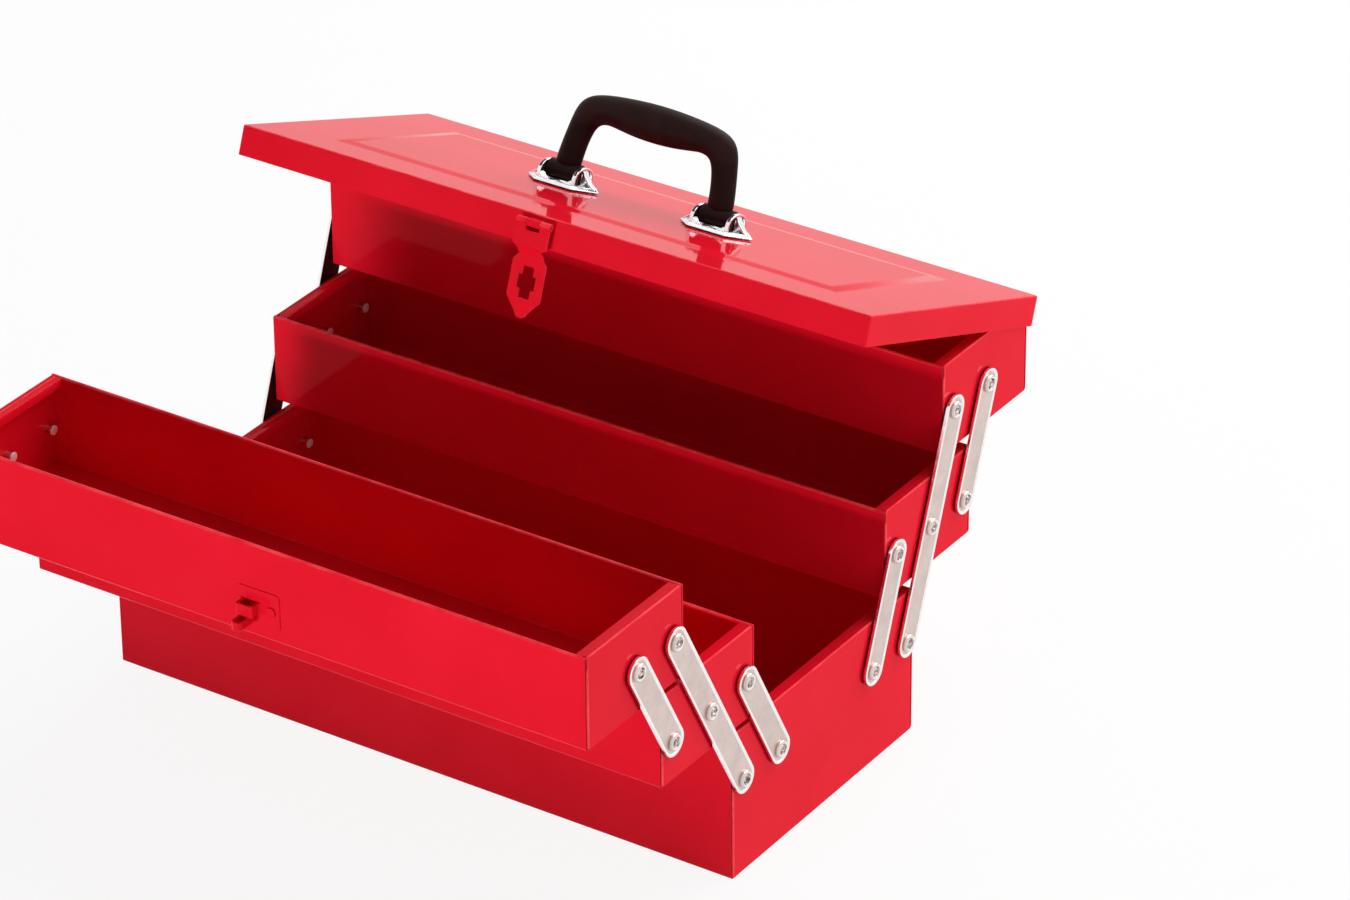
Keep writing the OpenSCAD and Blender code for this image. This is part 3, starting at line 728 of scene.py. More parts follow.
def end_wall(node):
    """End wall with weld flanges and a stepped, turned-in rim."""
    size = sizes()
    low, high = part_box(node)
    outwards = 1 if high.x > 0 else -1
    outer_x = high.x if outwards > 0 else low.x
    shoulder = high.z - size.hem_drop
    wall = open_block(
        f"{node}_sheet",
        low,
        (high.x, high.y, shoulder),
        lambda face: face.normal.x * outwards < -0.9 or face.normal.z > 0.9,
    )

    def outside(spot):
        return near(spot.x, outer_x)

    front, rear = low.y + size.hem_width - size.sheet, high.y - size.hem_width + size.sheet
    for place in (front, rear):
        cut(1, place)
    pick_edges(
        wall, 1, lambda spot: near(spot.z, shoulder) and outside(spot) and front < spot.y < rear
    )
    pull(z=size.hem_drop)
    pull(x=-outwards * size.ledge)
    pull(z=-size.ledge_drop)
    pull(x=-outwards * (high.x - low.x - size.ledge))
    pull(z=-size.rim_lip + size.ledge_drop)
    pick_edges(wall, 1, lambda spot: near(spot.z, high.z) and outside(spot))
    round_edges(size.rim_round, 4)
    pick(
        wall,
        "EDGE",
        lambda edge: runs_along(edge, 1)
        and (near(middle(edge).z, low.z) or middle(edge).z > high.z - size.ledge_drop - TINY)
        and abs(middle(edge).x - outer_x) > size.rim_round + TINY
        and len(edge.link_faces) == 2,
    )
    round_edges(size.ledge_drop * 0.45, 2)
    pick_edges(
        wall, 2, lambda spot: outside(spot) and (near(spot.y, low.y) or near(spot.y, high.y))
    )
    round_edges(size.seam, 4)
    for place in (low.y + 2 * size.seam, high.y - 2 * size.seam):
        cut(1, place)
    finish_sheet(wall)
    return wall


# ---- Links and rivets ----


def link_blank(node, side):
    """Flat strip with round ends, a raised border and a recessed face."""
    size = sizes()
    place = turned(link_foot(node), link_angle(side))
    low, high = level_box(node, place)
    center = (low + high) / 2
    outwards = 1 if high.x > 0 else -1
    radius, depth = (high.y - low.y) / 2, high.x - low.x
    ends = [
        add_rod(node, (center.x, center.y, z), radius, depth)
        for z in (low.z + radius, high.z - radius)
    ]
    blank = join(ends, f"{node}_strip")
    edit(blank)
    select_whole()
    bpy.ops.mesh.convex_hull()
    merge_flats()
    pick(blank, "FACE", lambda face: face.normal.x * outwards > 0.9)
    sink(size.link_border)
    sink(size.link_recess * 0.6, x=-outwards * size.link_recess)
    pick(
        blank,
        "EDGE",
        lambda edge: abs(middle(edge).x - center.x) > depth * 0.2
        and not runs_along(edge, 0)
        and len(edge.link_faces) == 2
        and edge.calc_face_angle(0) > math.radians(8),
    )
    round_edges(0.25 * MM, 2)
    leave_edit()
    smooth(blank, 30)
    settle(blank, place)
    return blank


def dress_link(link, node):
    """Leaves the face of a link cloudy, paints a highlight on its border and paints shade on its
    back.
    """
    dress(link, ZINC, node)
    low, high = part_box(node)
    outwards = 1 if high.x > 0 else -1
    face_x = (high.x if outwards > 0 else low.x) - outwards * sizes().link_recess

    def on_border(face):
        return (face.center.x - face_x) * outwards > 0.1 * MM or abs(face.normal.x) < 0.3

    # Painted highlight on the border and the sides of the link
    touch_up(link, mark("painted_metal_highlight"), on_border)
    # Painted shade on the back of the link, which faces the wall
    touch_up(link, mark("painted_metal_shade"), lambda face: face.normal.x * outwards < -0.9)


def link_foot(node):
    """Lowest pivot of a link, from its joint."""
    side, end, kind, _ = node.split("_")
    if kind == "long":
        name = f"{side}_fold" if end == "right" else f"{side}_left_long_pivot"
    else:
        name = f"{side}_{end}_{kind}_pivot"
    return pivot(name)


def tray_pivots(tray):
    """Where the rivets of one tray stand, as Y and Z."""
    side, tier = tray.split("_")
    step = link_step(side)
    if tier == "middle":
        return [
            pivot(f"{side}_middle_tray_pivot"),
            pivot(f"{side}_right_lower_pivot") + step,
            pivot(f"{side}_right_upper_pivot"),
        ]
    return [pivot(f"{side}_top_tray_pivot"), pivot(f"{side}_right_upper_pivot") + step]


def base_pivots():
    return [pivot(name) for side in SIDES for name in (f"{side}_fold", f"{side}_right_lower_pivot")]


def lathe(name, outline):
    """Turns an outline, given as (place along X, radius), about the X axis."""
    deselect_all()
    bpy.ops.mesh.primitive_plane_add(size=MM)
    piece = new_piece(name)
    edit(piece)
    bpy.ops.mesh.select_mode(type="VERT")
    select_whole()
    bpy.ops.mesh.merge(type="CENTER")
    select_whole()
    move(x=outline[0][0], z=outline[0][1])
    for before, after in zip(outline, outline[1:]):
        pull(x=after[0] - before[0], z=after[1] - before[1])
    select_whole()
    bpy.ops.mesh.spin(steps=40, angle=math.tau, center=(0, 0, 0), axis=(1, 0, 0))
    select_whole()
    bpy.ops.mesh.remove_doubles(threshold=TINY / 4)
    face_outwards()
    leave_edit()
    return piece


def arc(center, radius, start, end, steps):
    """Points of an arc, angles in degrees from the X axis towards the second axis."""
    turns = [math.radians(start + (end - start) * k / steps) for k in range(steps + 1)]
    return [(center[0] + radius * math.cos(t), center[1] + radius * math.sin(t)) for t in turns]


# Face of a rivet head, from its rim to its middle: the drop below the crest and the radius, in
# millimetres
RIVET_HEAD = (
    (1.0, 5.65), (0.45, 5.2), (0.15, 4.6), (0.1, 4.1), (0.3, 3.6), (0.85, 3.2), (1.05, 2.8),
    (0.9, 2.4), (0.4, 2.1), (0.2, 1.7), (0.35, 1.3), (1.0, 1.0), (1.3, 0.6), (1.35, 0),
)


def rivet_form():
    """One pivot rivet, the wall's outer face at x = 0 and its dished head towards +X."""
    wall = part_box("base_shell")[1].x
    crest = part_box("base_pivot_rivets")[1].x - wall
    seat, tail = crest - 2.2 * MM, -7 * MM
    outline = [(tail, 0), (tail, 2.7), (tail + 0.35 * MM, 3.15), (tail + 0.9 * MM, 3.15)]
    outline += [(tail + 1.2 * MM, 2.5), (seat, 2.5), (seat, 5.5), (seat + 0.5 * MM, 5.75)]
    outline += [(crest - drop * MM, radius) for drop, radius in RIVET_HEAD]
    return lathe("pivot_rivet", [(place, radius * MM) for place, radius in outline])


def washer_form():
    """One washer, its seat on the wall's outer face at x = 0."""
    thick, outer, inner, chamfer = 1.5 * MM, 7 * MM, 2.52 * MM, 0.3 * MM
    outline = [(0, inner), (0, outer - chamfer), (chamfer, outer), (thick - chamfer, outer)]
    outline += [(thick, outer - chamfer), (thick, inner), (0, inner)]
    return lathe("pivot_washer", outline)


def spread_on_pivots(form, node, places):
    """Copies a fitting to both ends of each pivot line and joins the copies."""
    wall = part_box("base_shell")[1].x
    copies = []
    for place in places:
        for end in (1, -1):
            carry = Matrix.Translation((end * wall, place.y, place.z))
            carry = carry @ Matrix.Diagonal((end, 1, 1, 1))
            copies.append(copied(form, f"{node}_copy", carry))
    fitting = join(copies, f"{node}_set")
    smooth(fitting, 40)
    return fitting


def finish_rivets(fitting, places):
    """Paints a highlight on the tails and on a ring of each head, and paints mottled shade into the
    middle of the heads.
    """
    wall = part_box("base_shell")[1].x
    head, inside = wall + 2 * MM, wall - 1.5 * MM

    def on_head(face, inner, outer):
        spot = face.center
        return abs(spot.x) > head and any(
            inner * MM < math.hypot(spot.y - place.y, spot.z - place.z) < outer * MM
            for place in places
        )

    # The tails inside the trays are whiter and less metallic than the plating: a painted highlight
    touch_up(fitting, mark("painted_tail_highlight"), lambda face: abs(face.center.x) < inside)
    # Painted highlight on a ring of each head
    touch_up(fitting, mark("painted_metal_highlight"), lambda face: on_head(face, 3.6, 4.7))
    # Painted shade, mottled with bright plating, in the dish of each head
    touch_up(fitting, mark("painted_dish_shade"), lambda face: on_head(face, 0, 3.5))


# ---- Lid and handle ----


def lid_sheet(node):
    """Deep-drawn lid with rounded edges and a low panel with wide slopes."""
    size = sizes()
    place = lid_place()
    low, high = level_box(node, place)
    top = high.z - size.panel_step
    center, half = (low + high) / 2, (high - low) / 2
    center.z = top
    lid = open_block(
        f"{node}_sheet", low, (high.x, high.y, top), lambda face: face.normal.z < -0.9
    )
    pick(lid, "FACE", lambda face: face.normal.z > 0.9)
    before = (high - low).xy
    for grow, rise in ((1, 0.0), (-1, size.panel_rise)):
        after = Vector((size.panel_length, size.panel_depth))
        after += grow * Vector((size.panel_slope, size.panel_slope))
        pull(z=rise)
        bpy.ops.transform.resize(
            value=(after.x / before.x, after.y / before.y, 1), center_override=center
        )
        before = after
    slope = size.panel_slope / 2 + TINY

    def on_panel(edge):
        spot = middle(edge) - center
        return (
            len(edge.link_faces) == 2
            and abs(spot.z) < size.panel_rise + TINY
            and abs(spot.x) < size.panel_length / 2 + slope
            and abs(spot.y) < size.panel_depth / 2 + slope
            and (runs_along(edge, 0) or runs_along(edge, 1))
        )

    def on_crown(edge):
        spot = middle(edge) - center
        upper = near(spot.z, 0) and (near(abs(spot.x), half.x) or near(abs(spot.y), half.y))
        return len(edge.link_faces) == 2 and (runs_along(edge, 2) or upper)

    pick(lid, "EDGE", on_panel)
    round_edges(1.6 * MM, 4)
    pick(lid, "EDGE", on_crown)
    round_edges(size.lid_crown, 4)
    # The rear upper rounding stands a little forward, so that the leaning lid stays in its box
    crown = size.lid_crown + TINY
    pick(lid, "VERT", lambda corner: corner.co.y > high.y - crown and corner.co.z > top - crown)
    move(y=-0.4 * MM)
    finish_sheet(lid)
    settle(lid, place)
    return lid


def brighten_lid(lid, place):
    """Paints a lighter highlight on the rounded upper edges of the lid."""
    back = place.inverted()
    low, high = span(lid, place)
    crown = sizes().lid_crown
    top = high.z - sizes().panel_rise

    def on_edge(face):
        spot = back @ face.center
        rise = (back.to_3x3() @ face.normal).z
        rim = min(spot.x - low.x, high.x - spot.x, spot.y - low.y, high.y - spot.y)
        return 0.2 < rise and rim < crown and top - 0.7 * crown < spot.z < top + TINY

    # Painted highlight on the rounded upper edges
    touch_up(lid, painted_edge_highlight(), on_edge)


# Rings of the bow, from the foot of a leg to the middle: the outer and the inner point as (across,
# above the pins) and the thickness, in millimetres
GRIP_RINGS = (
    ((64.4, 1.0), (46.6, 1.0), 11.4),
    ((64.3, 9.0), (46.5, 9.0), 11.8),
    ((62.6, 20.0), (45.5, 19.0), 12.2),
    ((60.6, 31.0), (43.4, 27.6), 12.8),
    ((59.0, 38.5), (41.2, 31.3), 13.4),
    ((56.2, 44.8), (38.6, 33.1), 14.2),
    ((50.5, 49.4), (35.2, 33.9), 15.2),
    ((42.0, 51.9), (31.5, 34.0), 16.0),
    ((30.0, 53.6), (25.0, 33.0), 16.8),
    ((16.0, 54.8), (14.0, 31.5), 17.5),
    ((0.0, 55.4), (0.0, 30.9), 17.9),
)


def grip_form(node):
    """Moulded bow with a round barrel at the foot of each leg."""
    swing = pivot("handle_swing")
    left = [((-o[0], o[1]), (-i[0], i[1]), t) for o, i, t in reversed(GRIP_RINGS[:-1])]
    rings = []
    for outer, inner, thick in [*GRIP_RINGS, *left]:
        outer, inner = Vector(outer) * MM, Vector(inner) * MM
        center, run = (outer + inner) / 2, outer - inner
        deselect_all()
        bpy.ops.mesh.primitive_circle_add(vertices=sizes().grip_sides, radius=1)
        turn = Matrix.Rotation(-math.atan2(run.y, run.x), 4, "Y")
        spot = Matrix.Translation((center.x, swing.y, swing.z + center.y))
        stretch = Matrix.Diagonal((run.length / 2, thick * MM / 2, 1, 1))
        bpy.context.object.matrix_world = spot @ turn @ stretch
        rings.append(new_piece("grip_ring"))
    bow = join(rings, f"{node}_bow")
    edit(bow)
    bpy.ops.mesh.select_mode(type="EDGE")
    select_whole()
    bpy.ops.mesh.bridge_edge_loops()
    pick(bow, "EDGE", lambda edge: len(edge.link_faces) == 1)
    bpy.ops.mesh.edge_face_add()
    face_outwards()
    leave_edit()
    apply_modifier(bow, "SUBSURF", levels=2, render_levels=2)
    barrels = []
    for foot in (-56, 56):
        spot = (foot * MM, swing.y, swing.z)
        barrel = add_rod("grip_barrel", spot, 6.15 * MM, 22.4 * MM, sides=64)
        soften(barrel, 0.8 * MM, 3)
        barrels.append(barrel)
    grip = join([bow] + barrels, f"{node}_form")
    smooth(grip, 50)
    settle(grip, handle_place())
    return grip


# ---- Handle brackets ----


def bracket_form():
    """Pressed plate with a raised rim, beaded ears, scalloped lips and ribs, seated on z = 0."""
    half, shoulder, side, seat = 26, 13.7, 13, 0.7
    outline = [(-half, 0, 0), (-shoulder, -side, 0), (shoulder, -side, 0)]
    outline += [(half, 0, 0), (shoulder, side, 0), (-shoulder, side, 0)]
    base = add_plate("bracket_base", outline, (0, 0, seat))
    rim = ((1.7, 0, 0, 1.6), (0.8, 0, 0, 0), (1.3, 0, 0, -1.1))
    press(base, lambda face: face.normal.z > 0.9, *rim)

    pin_rise, crest, ear_x, ear_depth = 8, 5.2, 11.5, 2.5
    foot = side - 2
    ear_outline = [(ear_x, -foot, seat), (ear_x, -foot + 0.3, pin_rise - 1.5)]
    for y, z in arc((0, 0), 1, 165, 15, 12):
        ear_outline.append((ear_x, y * (foot - 0.7), pin_rise - 1 + z * (crest + 1)))
    ear_outline += [(ear_x, foot - 0.3, pin_rise - 1.5), (ear_x, foot, seat)]
    ear = add_plate("bracket_ear", ear_outline, (ear_depth, 0, 0))
    press(ear, lambda face: face.normal.x > 0.9, (1.5, 0, 0, 0), (0.5, -1.5, 0, 0))

    slope = (foot - crest) / (pin_rise - seat)
    scallop = [(-11.7, seat), (11.7, seat), (11.7, 5.8), (10.2, 5.4), (8.6, 4.2), (6.8, 3.1)]
    scallop += [(4.4, 2.3), (2.2, 2.5), (0, 2.8), (-2.2, 2.5), (-4.4, 2.3), (-6.8, 3.1)]
    scallop += [(-8.6, 4.2), (-10.2, 5.4), (-11.7, 5.8)]
    lip_outline = [(x, -foot + (z - seat) * slope, z) for x, z in scallop]
    lip = add_plate("bracket_lip", lip_outline, (0, 0.75, -0.75 * slope))

    rib_half, rib_foot, rib_tip = 2.6, 12.2, 24.4
    profile = [(rib_foot, seat), (rib_tip, seat), (23.2, 2.2), (19.4, 4.6)]
    profile += [(16.2, 8.2), (14.4, 11.2), (rib_foot, 11.8)]
    rib_outline = [(x, -rib_half, z) for x, z in profile]
    rib = add_plate("bracket_rib", rib_outline, (0, 2 * rib_half, 0))
    edit(rib)
    for end, narrowing in ((24, 0.5), (19, 0.8)):
        pick(rib, "VERT", lambda corner: corner.co.x > end * MM)
        bpy.ops.transform.resize(value=(1, narrowing, 1), center_override=(0, 0, 0))
    leave_edit()
    press(rib, lambda face: abs(face.normal.y) > 0.9, (1.0, 0, 0, 0))

    parts = [base, ear, lip, rib]
    parts += [copied(part, "bracket_far", Matrix.Diagonal((-1, 1, 1, 1))) for part in (ear, rib)]
    parts.append(copied(lip, "bracket_far", Matrix.Diagonal((1, -1, 1, 1))))
    return assemble(parts, "bracket_form", 0.4, 3, 25)


def bracket_creases(bracket, place):
    """Paints shade and dark reflections into the hollows of a bracket, as a bright pressing shows
    them.
    """
    back = place.inverted()

    def in_hollow(face):
        spot = (back @ face.center) / MM
        normal = back.to_3x3() @ face.normal
        reach = math.hypot(spot.y, min(0, 8 - spot.z))
        in_ear = 12.1 < abs(spot.x) < 13.6 and 1 < spot.z < 12.6 and reach < 10.2
        in_ear = in_ear and (abs(normal.x) > 0.9 or abs(spot.x) < 12.9)
        faces_in = normal.x * spot.x + normal.y * spot.y < 0
        by_rim = faces_in and abs(normal.z) < 0.93 and spot.z < 2.2 and abs(spot.x) > 13
        under_rim = spot.z < 0.4 and abs(normal.z) < 0.6
        return in_ear or by_rim or under_rim

    # Painted shade and painted dark reflection in the hollows
    touch_up(bracket, mark("painted_metal_shade"), in_hollow)


# ---- Hasp and staple ----


def hasp_frame():
    """Carries what is drawn around the hasp's pin, hanging down, to the hasp."""
    pin = lid_place().inverted() @ Vector(JOINTS["hasp_swing"]["pos_m"])
    return lid_place() @ Matrix.Translation(pin)


def hasp_form(node):
    """Strap with two knuckles, a step back below the skirt and a pointed eye plate."""
    place = hasp_frame()
    low, high = level_box(node, place)
    lid_low, _ = level_box("lid_shell", place)
    half, sheet, setback = high.x / MM, 1.5, -1.4
    reach = -low.z / MM
    step_top = -lid_low.z / MM + sheet / 3
    step_bottom = step_top + 5.5
    neck, tip_radius = 0.73 * half, 4.8
    right = [(half, -1.2), (half, -step_top), (neck, -step_top - 1.8), (neck, -step_bottom - 1.1)]
    right += [(half, -step_bottom - 4.6), (half, half - reach), (4, 0.6 * tip_radius - reach)]
    tip = arc((0, tip_radius - reach), tip_radius, -30, -150, 8)
    corners = right + tip + [(-x, z) for x, z in reversed(right)]
    leaf = add_plate("hasp_leaf_plate", [(x, setback, z) for x, z in corners], (0, sheet, 0))
    gap = 9.6
    # The gap for the fixed knuckle, the upright slot and the slot across it
    for width, top, bottom in ((gap, 3, -4.6), (8, -26.75, -46.25), (13, -32.3, -40.7)):
        punch(leaf, width, top, bottom)
    edit(leaf)
    for height in (-step_top, -step_bottom):
        cut(2, height * MM)
    pick(leaf, "VERT", lambda corner: corner.co.z < -step_bottom * MM + TINY)
    move(y=high.y - (setback + sheet) * MM)
    leave_edit()
    barrel, center = (half - gap / 2) * MM, (half + gap / 2) / 2 * MM
    knuckles = [
        add_rod("hasp_knuckle", (side * center, 0, 0), 2.5 * MM, barrel) for side in (-1, 1)
    ]
    return assemble([leaf] + knuckles, f"{node}_form", 0.3, 2, 35, place)


def staple_form(node):
    """Plate with a bent strap loop and a hollow tongue under it."""
    low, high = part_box(node)
    left, right, half_height = 9 * MM, 20.5 * MM, 12 * MM
    place = Matrix.Translation((low.x + left, high.y, (low.z + high.z) / 2))
    plate = add_block("staple_plate", (-left, -0.7 * MM, -half_height), (right, 0, half_height))
    edit(plate)
    pick(plate, "EDGE", lambda edge: runs_along(edge, 1))
    round_edges(2.5 * MM, 5)
    leave_edit()

    front, foot, underside, loop_height = -8, -0.9, -3.8, 7.6
    bend = [(-7.6, foot), (-5.9, -2.0), (-5.9, front), (5.9, front), (5.9, -2.0), (7.6, foot)]
    bend += [(4.3, foot), (4.3, -6.4), (-4.3, -6.4), (-4.3, foot)]
    loop_outline = [(x, y, underside) for x, y in bend]
    loop = add_plate("staple_loop", loop_outline, (0, 0, loop_height))
    edit(loop)
    pick_edges(loop, 2, lambda spot: near(spot.y, front * MM))
    round_edges(1.8 * MM, 5)
    leave_edit()

    radius, nose_bottom = 3.4, -9.1
    edge = [(-radius, foot), *arc((0, -13.55), radius, 180, 360, 10), (radius, foot)]
    nose_outline = [(x, y, nose_bottom) for x, y in edge]
    nose = add_plate("staple_nose", nose_outline, (0, 0, 5.5))
    press(nose, lambda face: face.normal.z > 0.9, (1.0, 0, 0, 0), (0.4, 0, 0, -2.6))

    return assemble([plate, loop, nose], f"{node}_form", 0.45, 3, 35, place), place


def staple_rivet_form(node, place):
    """Two painted rivets, dished in the middle."""
    rivets = []
    for x in (0, 14.5):
        rivet = add_rod("staple_rivet", (x * MM, -1.3 * MM, 0), 3.3 * MM, 1.0 * MM, axis="Y")
        press(rivet, lambda face: face.normal.y < -0.9, (0.6, 0, 0, 0), (0.9, 0, 0.45, 0))
        rivets.append(rivet)
    return assemble(rivets, f"{node}_form", 0.25, 3, 35, place)


# ---- Stage ----


def set_camera():
    """Long lens from the right and above."""
    heading, height, roll = (math.radians(angle) for angle in (33.815, 29.718, -0.4746))
    distance, side_shift, lift = 3.96045, 0.099131, 0.149759
    level = Vector((math.cos(heading), math.sin(heading), 0))
    ahead = Vector((-math.sin(heading), math.cos(heading), 0))
    forward = math.cos(height) * ahead - Vector((0, 0, math.sin(height)))
    upright = level.cross(forward)
    right = math.cos(roll) * level + math.sin(roll) * upright
    up = -math.sin(roll) * level + math.cos(roll) * upright
    place = Matrix((right, up, -forward)).transposed().to_4x4()
    place.translation = side_shift * right + lift * up - distance * forward
    sensor, focal_length, frame_width = 36, 6453.64, 1350
    data = bpy.data.cameras.new("camera")
    data.sensor_width = sensor
    data.lens = sensor * focal_length / frame_width
    data.clip_end = 50
    camera = bpy.data.objects.new("camera", data)
    camera.matrix_world = place
    bpy.context.scene.collection.objects.link(camera)
    bpy.context.scene.camera = camera


# Name, place, target, width, height, power, whether the box mirrors it, and spread in degrees
LIGHTS = (
    ("front_light", (-0.3, -2.6, 0.185), (0, 0, 0.25), 1.3, 0.1, 1.18, False, 18),
    ("right_light", (2.6, 0.1, 0.3), (0, 0, 0.15), 2.4, 0.5, 25, False, 180),
    ("rear_light", (0.4, 1.6, 2.2), (0, 0, 0.15), 3.2, 3.2, 95, True, 180),
)


def add_softbox(name, spot, target, width, height, power, mirrored, spread):
    data = bpy.data.lights.new(name, "AREA")
    data.shape = "RECTANGLE"
    data.size = width
    data.size_y = height
    data.spread = math.radians(spread)
    data.energy = power
    lamp = bpy.data.objects.new(name, data)
    lamp.location = spot
    lamp.visible_glossy = mirrored
    lamp.rotation_mode = "QUATERNION"
    lamp.rotation_quaternion = (Vector(target) - Vector(spot)).to_track_quat("-Z", "Y")
    bpy.context.scene.collection.objects.link(lamp)


def white_where_seen(tree):
    """A value of 1 for what the camera sees, directly or in a reflection."""
    rays = add_node(tree, "LightPath").outputs
    seen = rays["Is Camera Ray"]
    for ray in ("Is Glossy Ray", "Is Transmission Ray"):
        inputs = {0: seen, 1: rays[ray]}
        seen = add_node(tree, "Math", inputs, operation="MAXIMUM").outputs["Value"]
    return seen


def floor_material():
    """Pale ground that is mostly white where it is seen and still shows a soft shadow."""
    material, tree, place = new_material("floor")
    tone = finishes().floor
    paler = [min(1.0, channel) for channel in shade(tone, 1.02)]
    blend = ramp(tree, noise(tree, place, 3, 2), 0, 1)
    inputs = {"Base Color": mixed(tree, blend, tone, paler), "Roughness": 0.9}
    shader = add_node(tree, "BsdfPrincipled", inputs)
    glow = add_node(tree, "Emission", {"Strength": 1.0})
    glow_share = 0.9
    share = add_node(tree, "Math", {0: white_where_seen(tree), 1: glow_share}, operation="MULTIPLY")
    inputs = {0: share.outputs["Value"], 1: shader.outputs["BSDF"], 2: glow.outputs["Emission"]}
    mix = add_node(tree, "MixShader", inputs)
    add_node(tree, "OutputMaterial", {"Surface": mix.outputs["Shader"]})
    return material


def set_world():
    """Even pale light all round, white where the camera sees it."""
    world = bpy.data.worlds.new("studio")
    bpy.context.scene.world = world
    world.use_nodes = True
    tree = world.node_tree
    tree.nodes.clear()
    inputs = {"Value": white_where_seen(tree), "To Min": 0.17, "To Max": 1.0}
    strength = add_node(tree, "MapRange", inputs).outputs["Result"]
    background = add_node(tree, "Background", {"Color": (1, 1, 1, 1), "Strength": strength})
    add_node(tree, "OutputWorld", {"Surface": background.outputs["Background"]})


# ---- Operators ----


class TOOLBOX_OT_finishes(bpy.types.Operator):
    """Gives every solid of the frame its finish"""

    bl_idname = "tool_box.finishes"
    bl_label = "Finish Solids"

    def execute(self, context):
        for name, solid in frame["nodes"].items():
            solid.data.materials.clear()
            solid.data.materials.append(MATERIALS[finish_of(name)]())
        return {"FINISHED"}


class TOOLBOX_OT_shells(bpy.types.Operator):
    """Folds the base and the trays from sheet"""

    bl_idname = "tool_box.shells"
    bl_label = "Fold Shells"

    def execute(self, context):
        base = folded_shell("base_shell")
        dress(base, RED, "base_shell")
        shade_seams(base)
        first = f"{TRAYS[0]}_tray"
        form = folded_shell(first)
        for tray in TRAYS:
            node = f"{tray}_tray"
            carry = Matrix.Translation(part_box(node)[0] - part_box(first)[0])
            sheet = copied(form, f"{node}_sheet_1", carry)
            dress(sheet, RED, node)
            shade_seams(sheet)
        delete_piece(form)
        return {"FINISHED"}


class TOOLBOX_OT_end_walls(bpy.types.Operator):
    """Folds the end walls of the base and the trays"""

    bl_idname = "tool_box.end_walls"
    bl_label = "Fold End Walls"

    def execute(self, context):
        for family in (["base"], TRAYS):
            first = f"{family[0]}_right_end"
            form = end_wall(first)
            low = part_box(first)[0]
            for tray in family:
                for end, flip in (("right", 1), ("left", -1)):
                    node = f"{tray}_{end}_end"
                    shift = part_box(node)[0] - low
                    carry = Matrix.Diagonal((flip, 1, 1, 1))
                    carry = Matrix.Translation((0, shift.y, shift.z)) @ carry
                    wall = copied(form, f"{node}_sheet_1", carry)
                    dress(wall, RED, node)
                    brighten_rim(wall)
            delete_piece(form)
        return {"FINISHED"}


class TOOLBOX_OT_links(bpy.types.Operator):
    """Presses the twelve links"""

    bl_idname = "tool_box.links"
    bl_label = "Press Links"

    def execute(self, context):
        for side in SIDES:
            for end in ENDS:
                for kind in ("long", "lower", "upper"):
                    node = f"{side}_{end}_{kind}_link"
                    dress_link(link_blank(node, side), node)
        return {"FINISHED"}


class TOOLBOX_OT_rivets(bpy.types.Operator):
    """Sets the pivot rivets and their washers"""

    bl_idname = "tool_box.rivets"
    bl_label = "Set Rivets"

    def execute(self, context):
        sets = {"base_pivot": base_pivots(), **{tray: tray_pivots(tray) for tray in TRAYS}}
        for form, kind in ((rivet_form(), "rivets"), (washer_form(), "washers")):
            for name, places in sets.items():
                node = f"{name}_{kind}"
                fitting = spread_on_pivots(form, node, places)
                dress(fitting, ZINC, node)
                if kind == "rivets":
                    finish_rivets(fitting, places)
            delete_piece(form)
        return {"FINISHED"}


class TOOLBOX_OT_lid(bpy.types.Operator):
    """Draws the lid"""

    bl_idname = "tool_box.lid"
    bl_label = "Draw Lid"

    def execute(self, context):
        lid = lid_sheet("lid_shell")
        dress(lid, RED, "lid_shell")
        brighten_lid(lid, lid_place())
        return {"FINISHED"}


class TOOLBOX_OT_handle(bpy.types.Operator):
    """Moulds the handle"""

    bl_idname = "tool_box.handle"
    bl_label = "Mould Handle"

    def execute(self, context):
        dress(grip_form("handle_grip"), BLACK, "handle_grip")
        return {"FINISHED"}


class TOOLBOX_OT_brackets(bpy.types.Operator):
    """Presses the handle brackets"""

    bl_idname = "tool_box.brackets"
    bl_label = "Press Brackets"

    def execute(self, context):
        form = bracket_form()
        for end in ENDS:
            node = f"{end}_handle_bracket"
            low, high = level_box(node, lid_place())
            seat = Vector(((low.x + high.x) / 2, (low.y + high.y) / 2, low.z))
            place = lid_place() @ Matrix.Translation(seat)
            bracket = copied(form, f"{node}_form", place)
            dress(bracket, CHROME, node)
            bracket_creases(bracket, place)
        delete_piece(form)
        return {"FINISHED"}


class TOOLBOX_OT_hasp(bpy.types.Operator):
    """Bends the hasp and its staple"""

    bl_idname = "tool_box.hasp"
    bl_label = "Bend Hasp and Staple"

    def execute(self, context):
        hasp = hasp_form("hasp_leaf")
        dress(hasp, RED, "hasp_leaf")
        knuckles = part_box("hasp_leaf")[1].z - 4 * MM

        def on_edge(face):
            on_side = abs(face.normal.y) < 0.8 and abs(face.normal.z) < 0.9
            return on_side or (face.center.z > knuckles and face.normal.z > 0.2)

        # Painted highlight on the sides of the strap and the tops of its knuckles
        touch_up(hasp, painted_edge_highlight(), on_edge)
        staple, place = staple_form("hasp_staple")
        dress(staple, RED, "hasp_staple")
        front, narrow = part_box("hasp_staple")[0].y + 9 * MM, 4 * MM * MM

        def on_left_edge(face):
            return face.center.y < front and face.normal.x < -0.2 and face.area < narrow

        # Painted highlight on the narrow left faces of the loop and the tongue
        touch_up(staple, painted_edge_highlight(), on_left_edge)
        dress(staple_rivet_form("staple_rivets", place), RED, "staple_rivets")
        return {"FINISHED"}


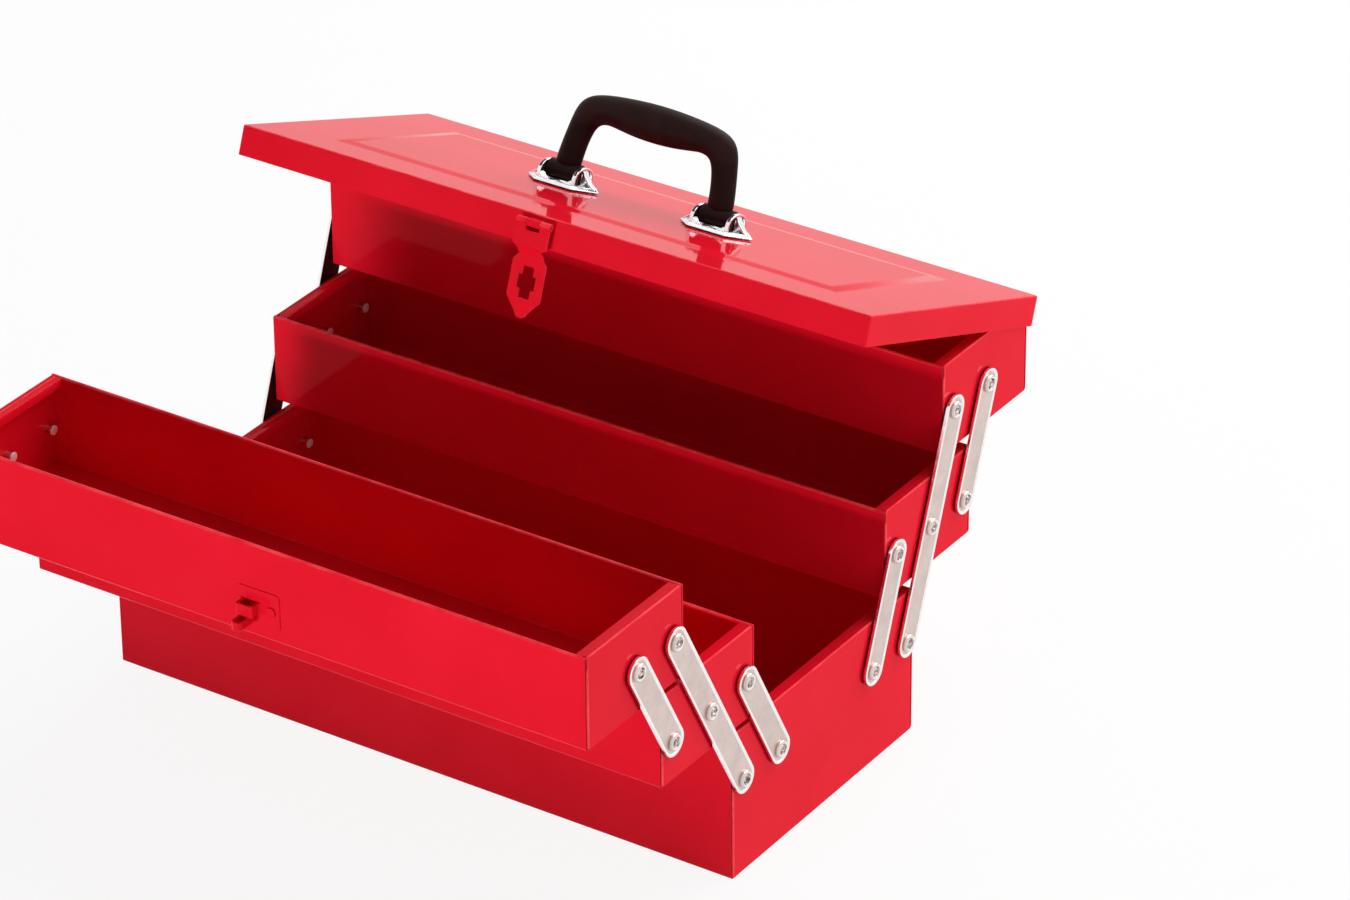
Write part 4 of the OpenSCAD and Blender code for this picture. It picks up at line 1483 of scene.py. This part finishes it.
class TOOLBOX_OT_fittings(bpy.types.Operator):
    """Rounds the hinges, the pins and the fixed part of the hasp"""

    bl_idname = "tool_box.fittings"
    bl_label = "Round Fittings"

    def execute(self, context):
        for node, width in (
            ("lid_hinge_leaves", 0.2),
            ("tray_hinge_leaves", 0.2),
            ("hasp_hinge_plate", 0.2),
            ("handle_pins", 0.4),
        ):
            dress(softened_copy(node, f"{node}_form", width * MM), finish_of(node), node)
        return {"FINISHED"}


class TOOLBOX_OT_stage(bpy.types.Operator):
    """Sets the floor, the light and the camera"""

    bl_idname = "tool_box.stage"
    bl_label = "Set Stage"

    def execute(self, context):
        deselect_all()
        bpy.ops.mesh.primitive_plane_add(size=60)
        floor = new_piece("floor")
        floor.data.materials.append(floor_material())
        set_world()
        for light in LIGHTS:
            add_softbox(*light)
        set_camera()
        context.scene.view_settings.view_transform = "Standard"
        return {"FINISHED"}


STEPS = (
    TOOLBOX_OT_finishes,
    TOOLBOX_OT_shells,
    TOOLBOX_OT_end_walls,
    TOOLBOX_OT_links,
    TOOLBOX_OT_rivets,
    TOOLBOX_OT_lid,
    TOOLBOX_OT_handle,
    TOOLBOX_OT_brackets,
    TOOLBOX_OT_hasp,
    TOOLBOX_OT_fittings,
    TOOLBOX_OT_stage,
)


class TOOLBOX_PT_sidebar(bpy.types.Panel):
    """Lists the steps that dress the tool box"""

    bl_idname = "TOOLBOX_PT_sidebar"
    bl_label = "Tool Box"
    bl_space_type = "VIEW_3D"
    bl_region_type = "UI"
    bl_category = "Tool Box"

    def draw(self, context):
        column = self.layout.column()
        for step in STEPS:
            column.operator(step.bl_idname)
        for group in (sizes(), finishes()):
            for name in group.__annotations__:
                column.prop(group, name)


CLASSES = (ToolBoxSizes, ToolBoxFinishes, *STEPS, TOOLBOX_PT_sidebar)


def register():
    for entry in CLASSES:
        bpy.utils.register_class(entry)
    bpy.types.Scene.tool_box_sizes = PointerProperty(type=ToolBoxSizes)
    bpy.types.Scene.tool_box_finishes = PointerProperty(type=ToolBoxFinishes)


def unregister():
    del bpy.types.Scene.tool_box_finishes
    del bpy.types.Scene.tool_box_sizes
    for entry in reversed(CLASSES):
        bpy.utils.unregister_class(entry)


def main():
    register()
    for step in STEPS:
        group, name = step.bl_idname.split(".")
        getattr(getattr(bpy.ops, group), name)()


if __name__ == "__main__":
    main()
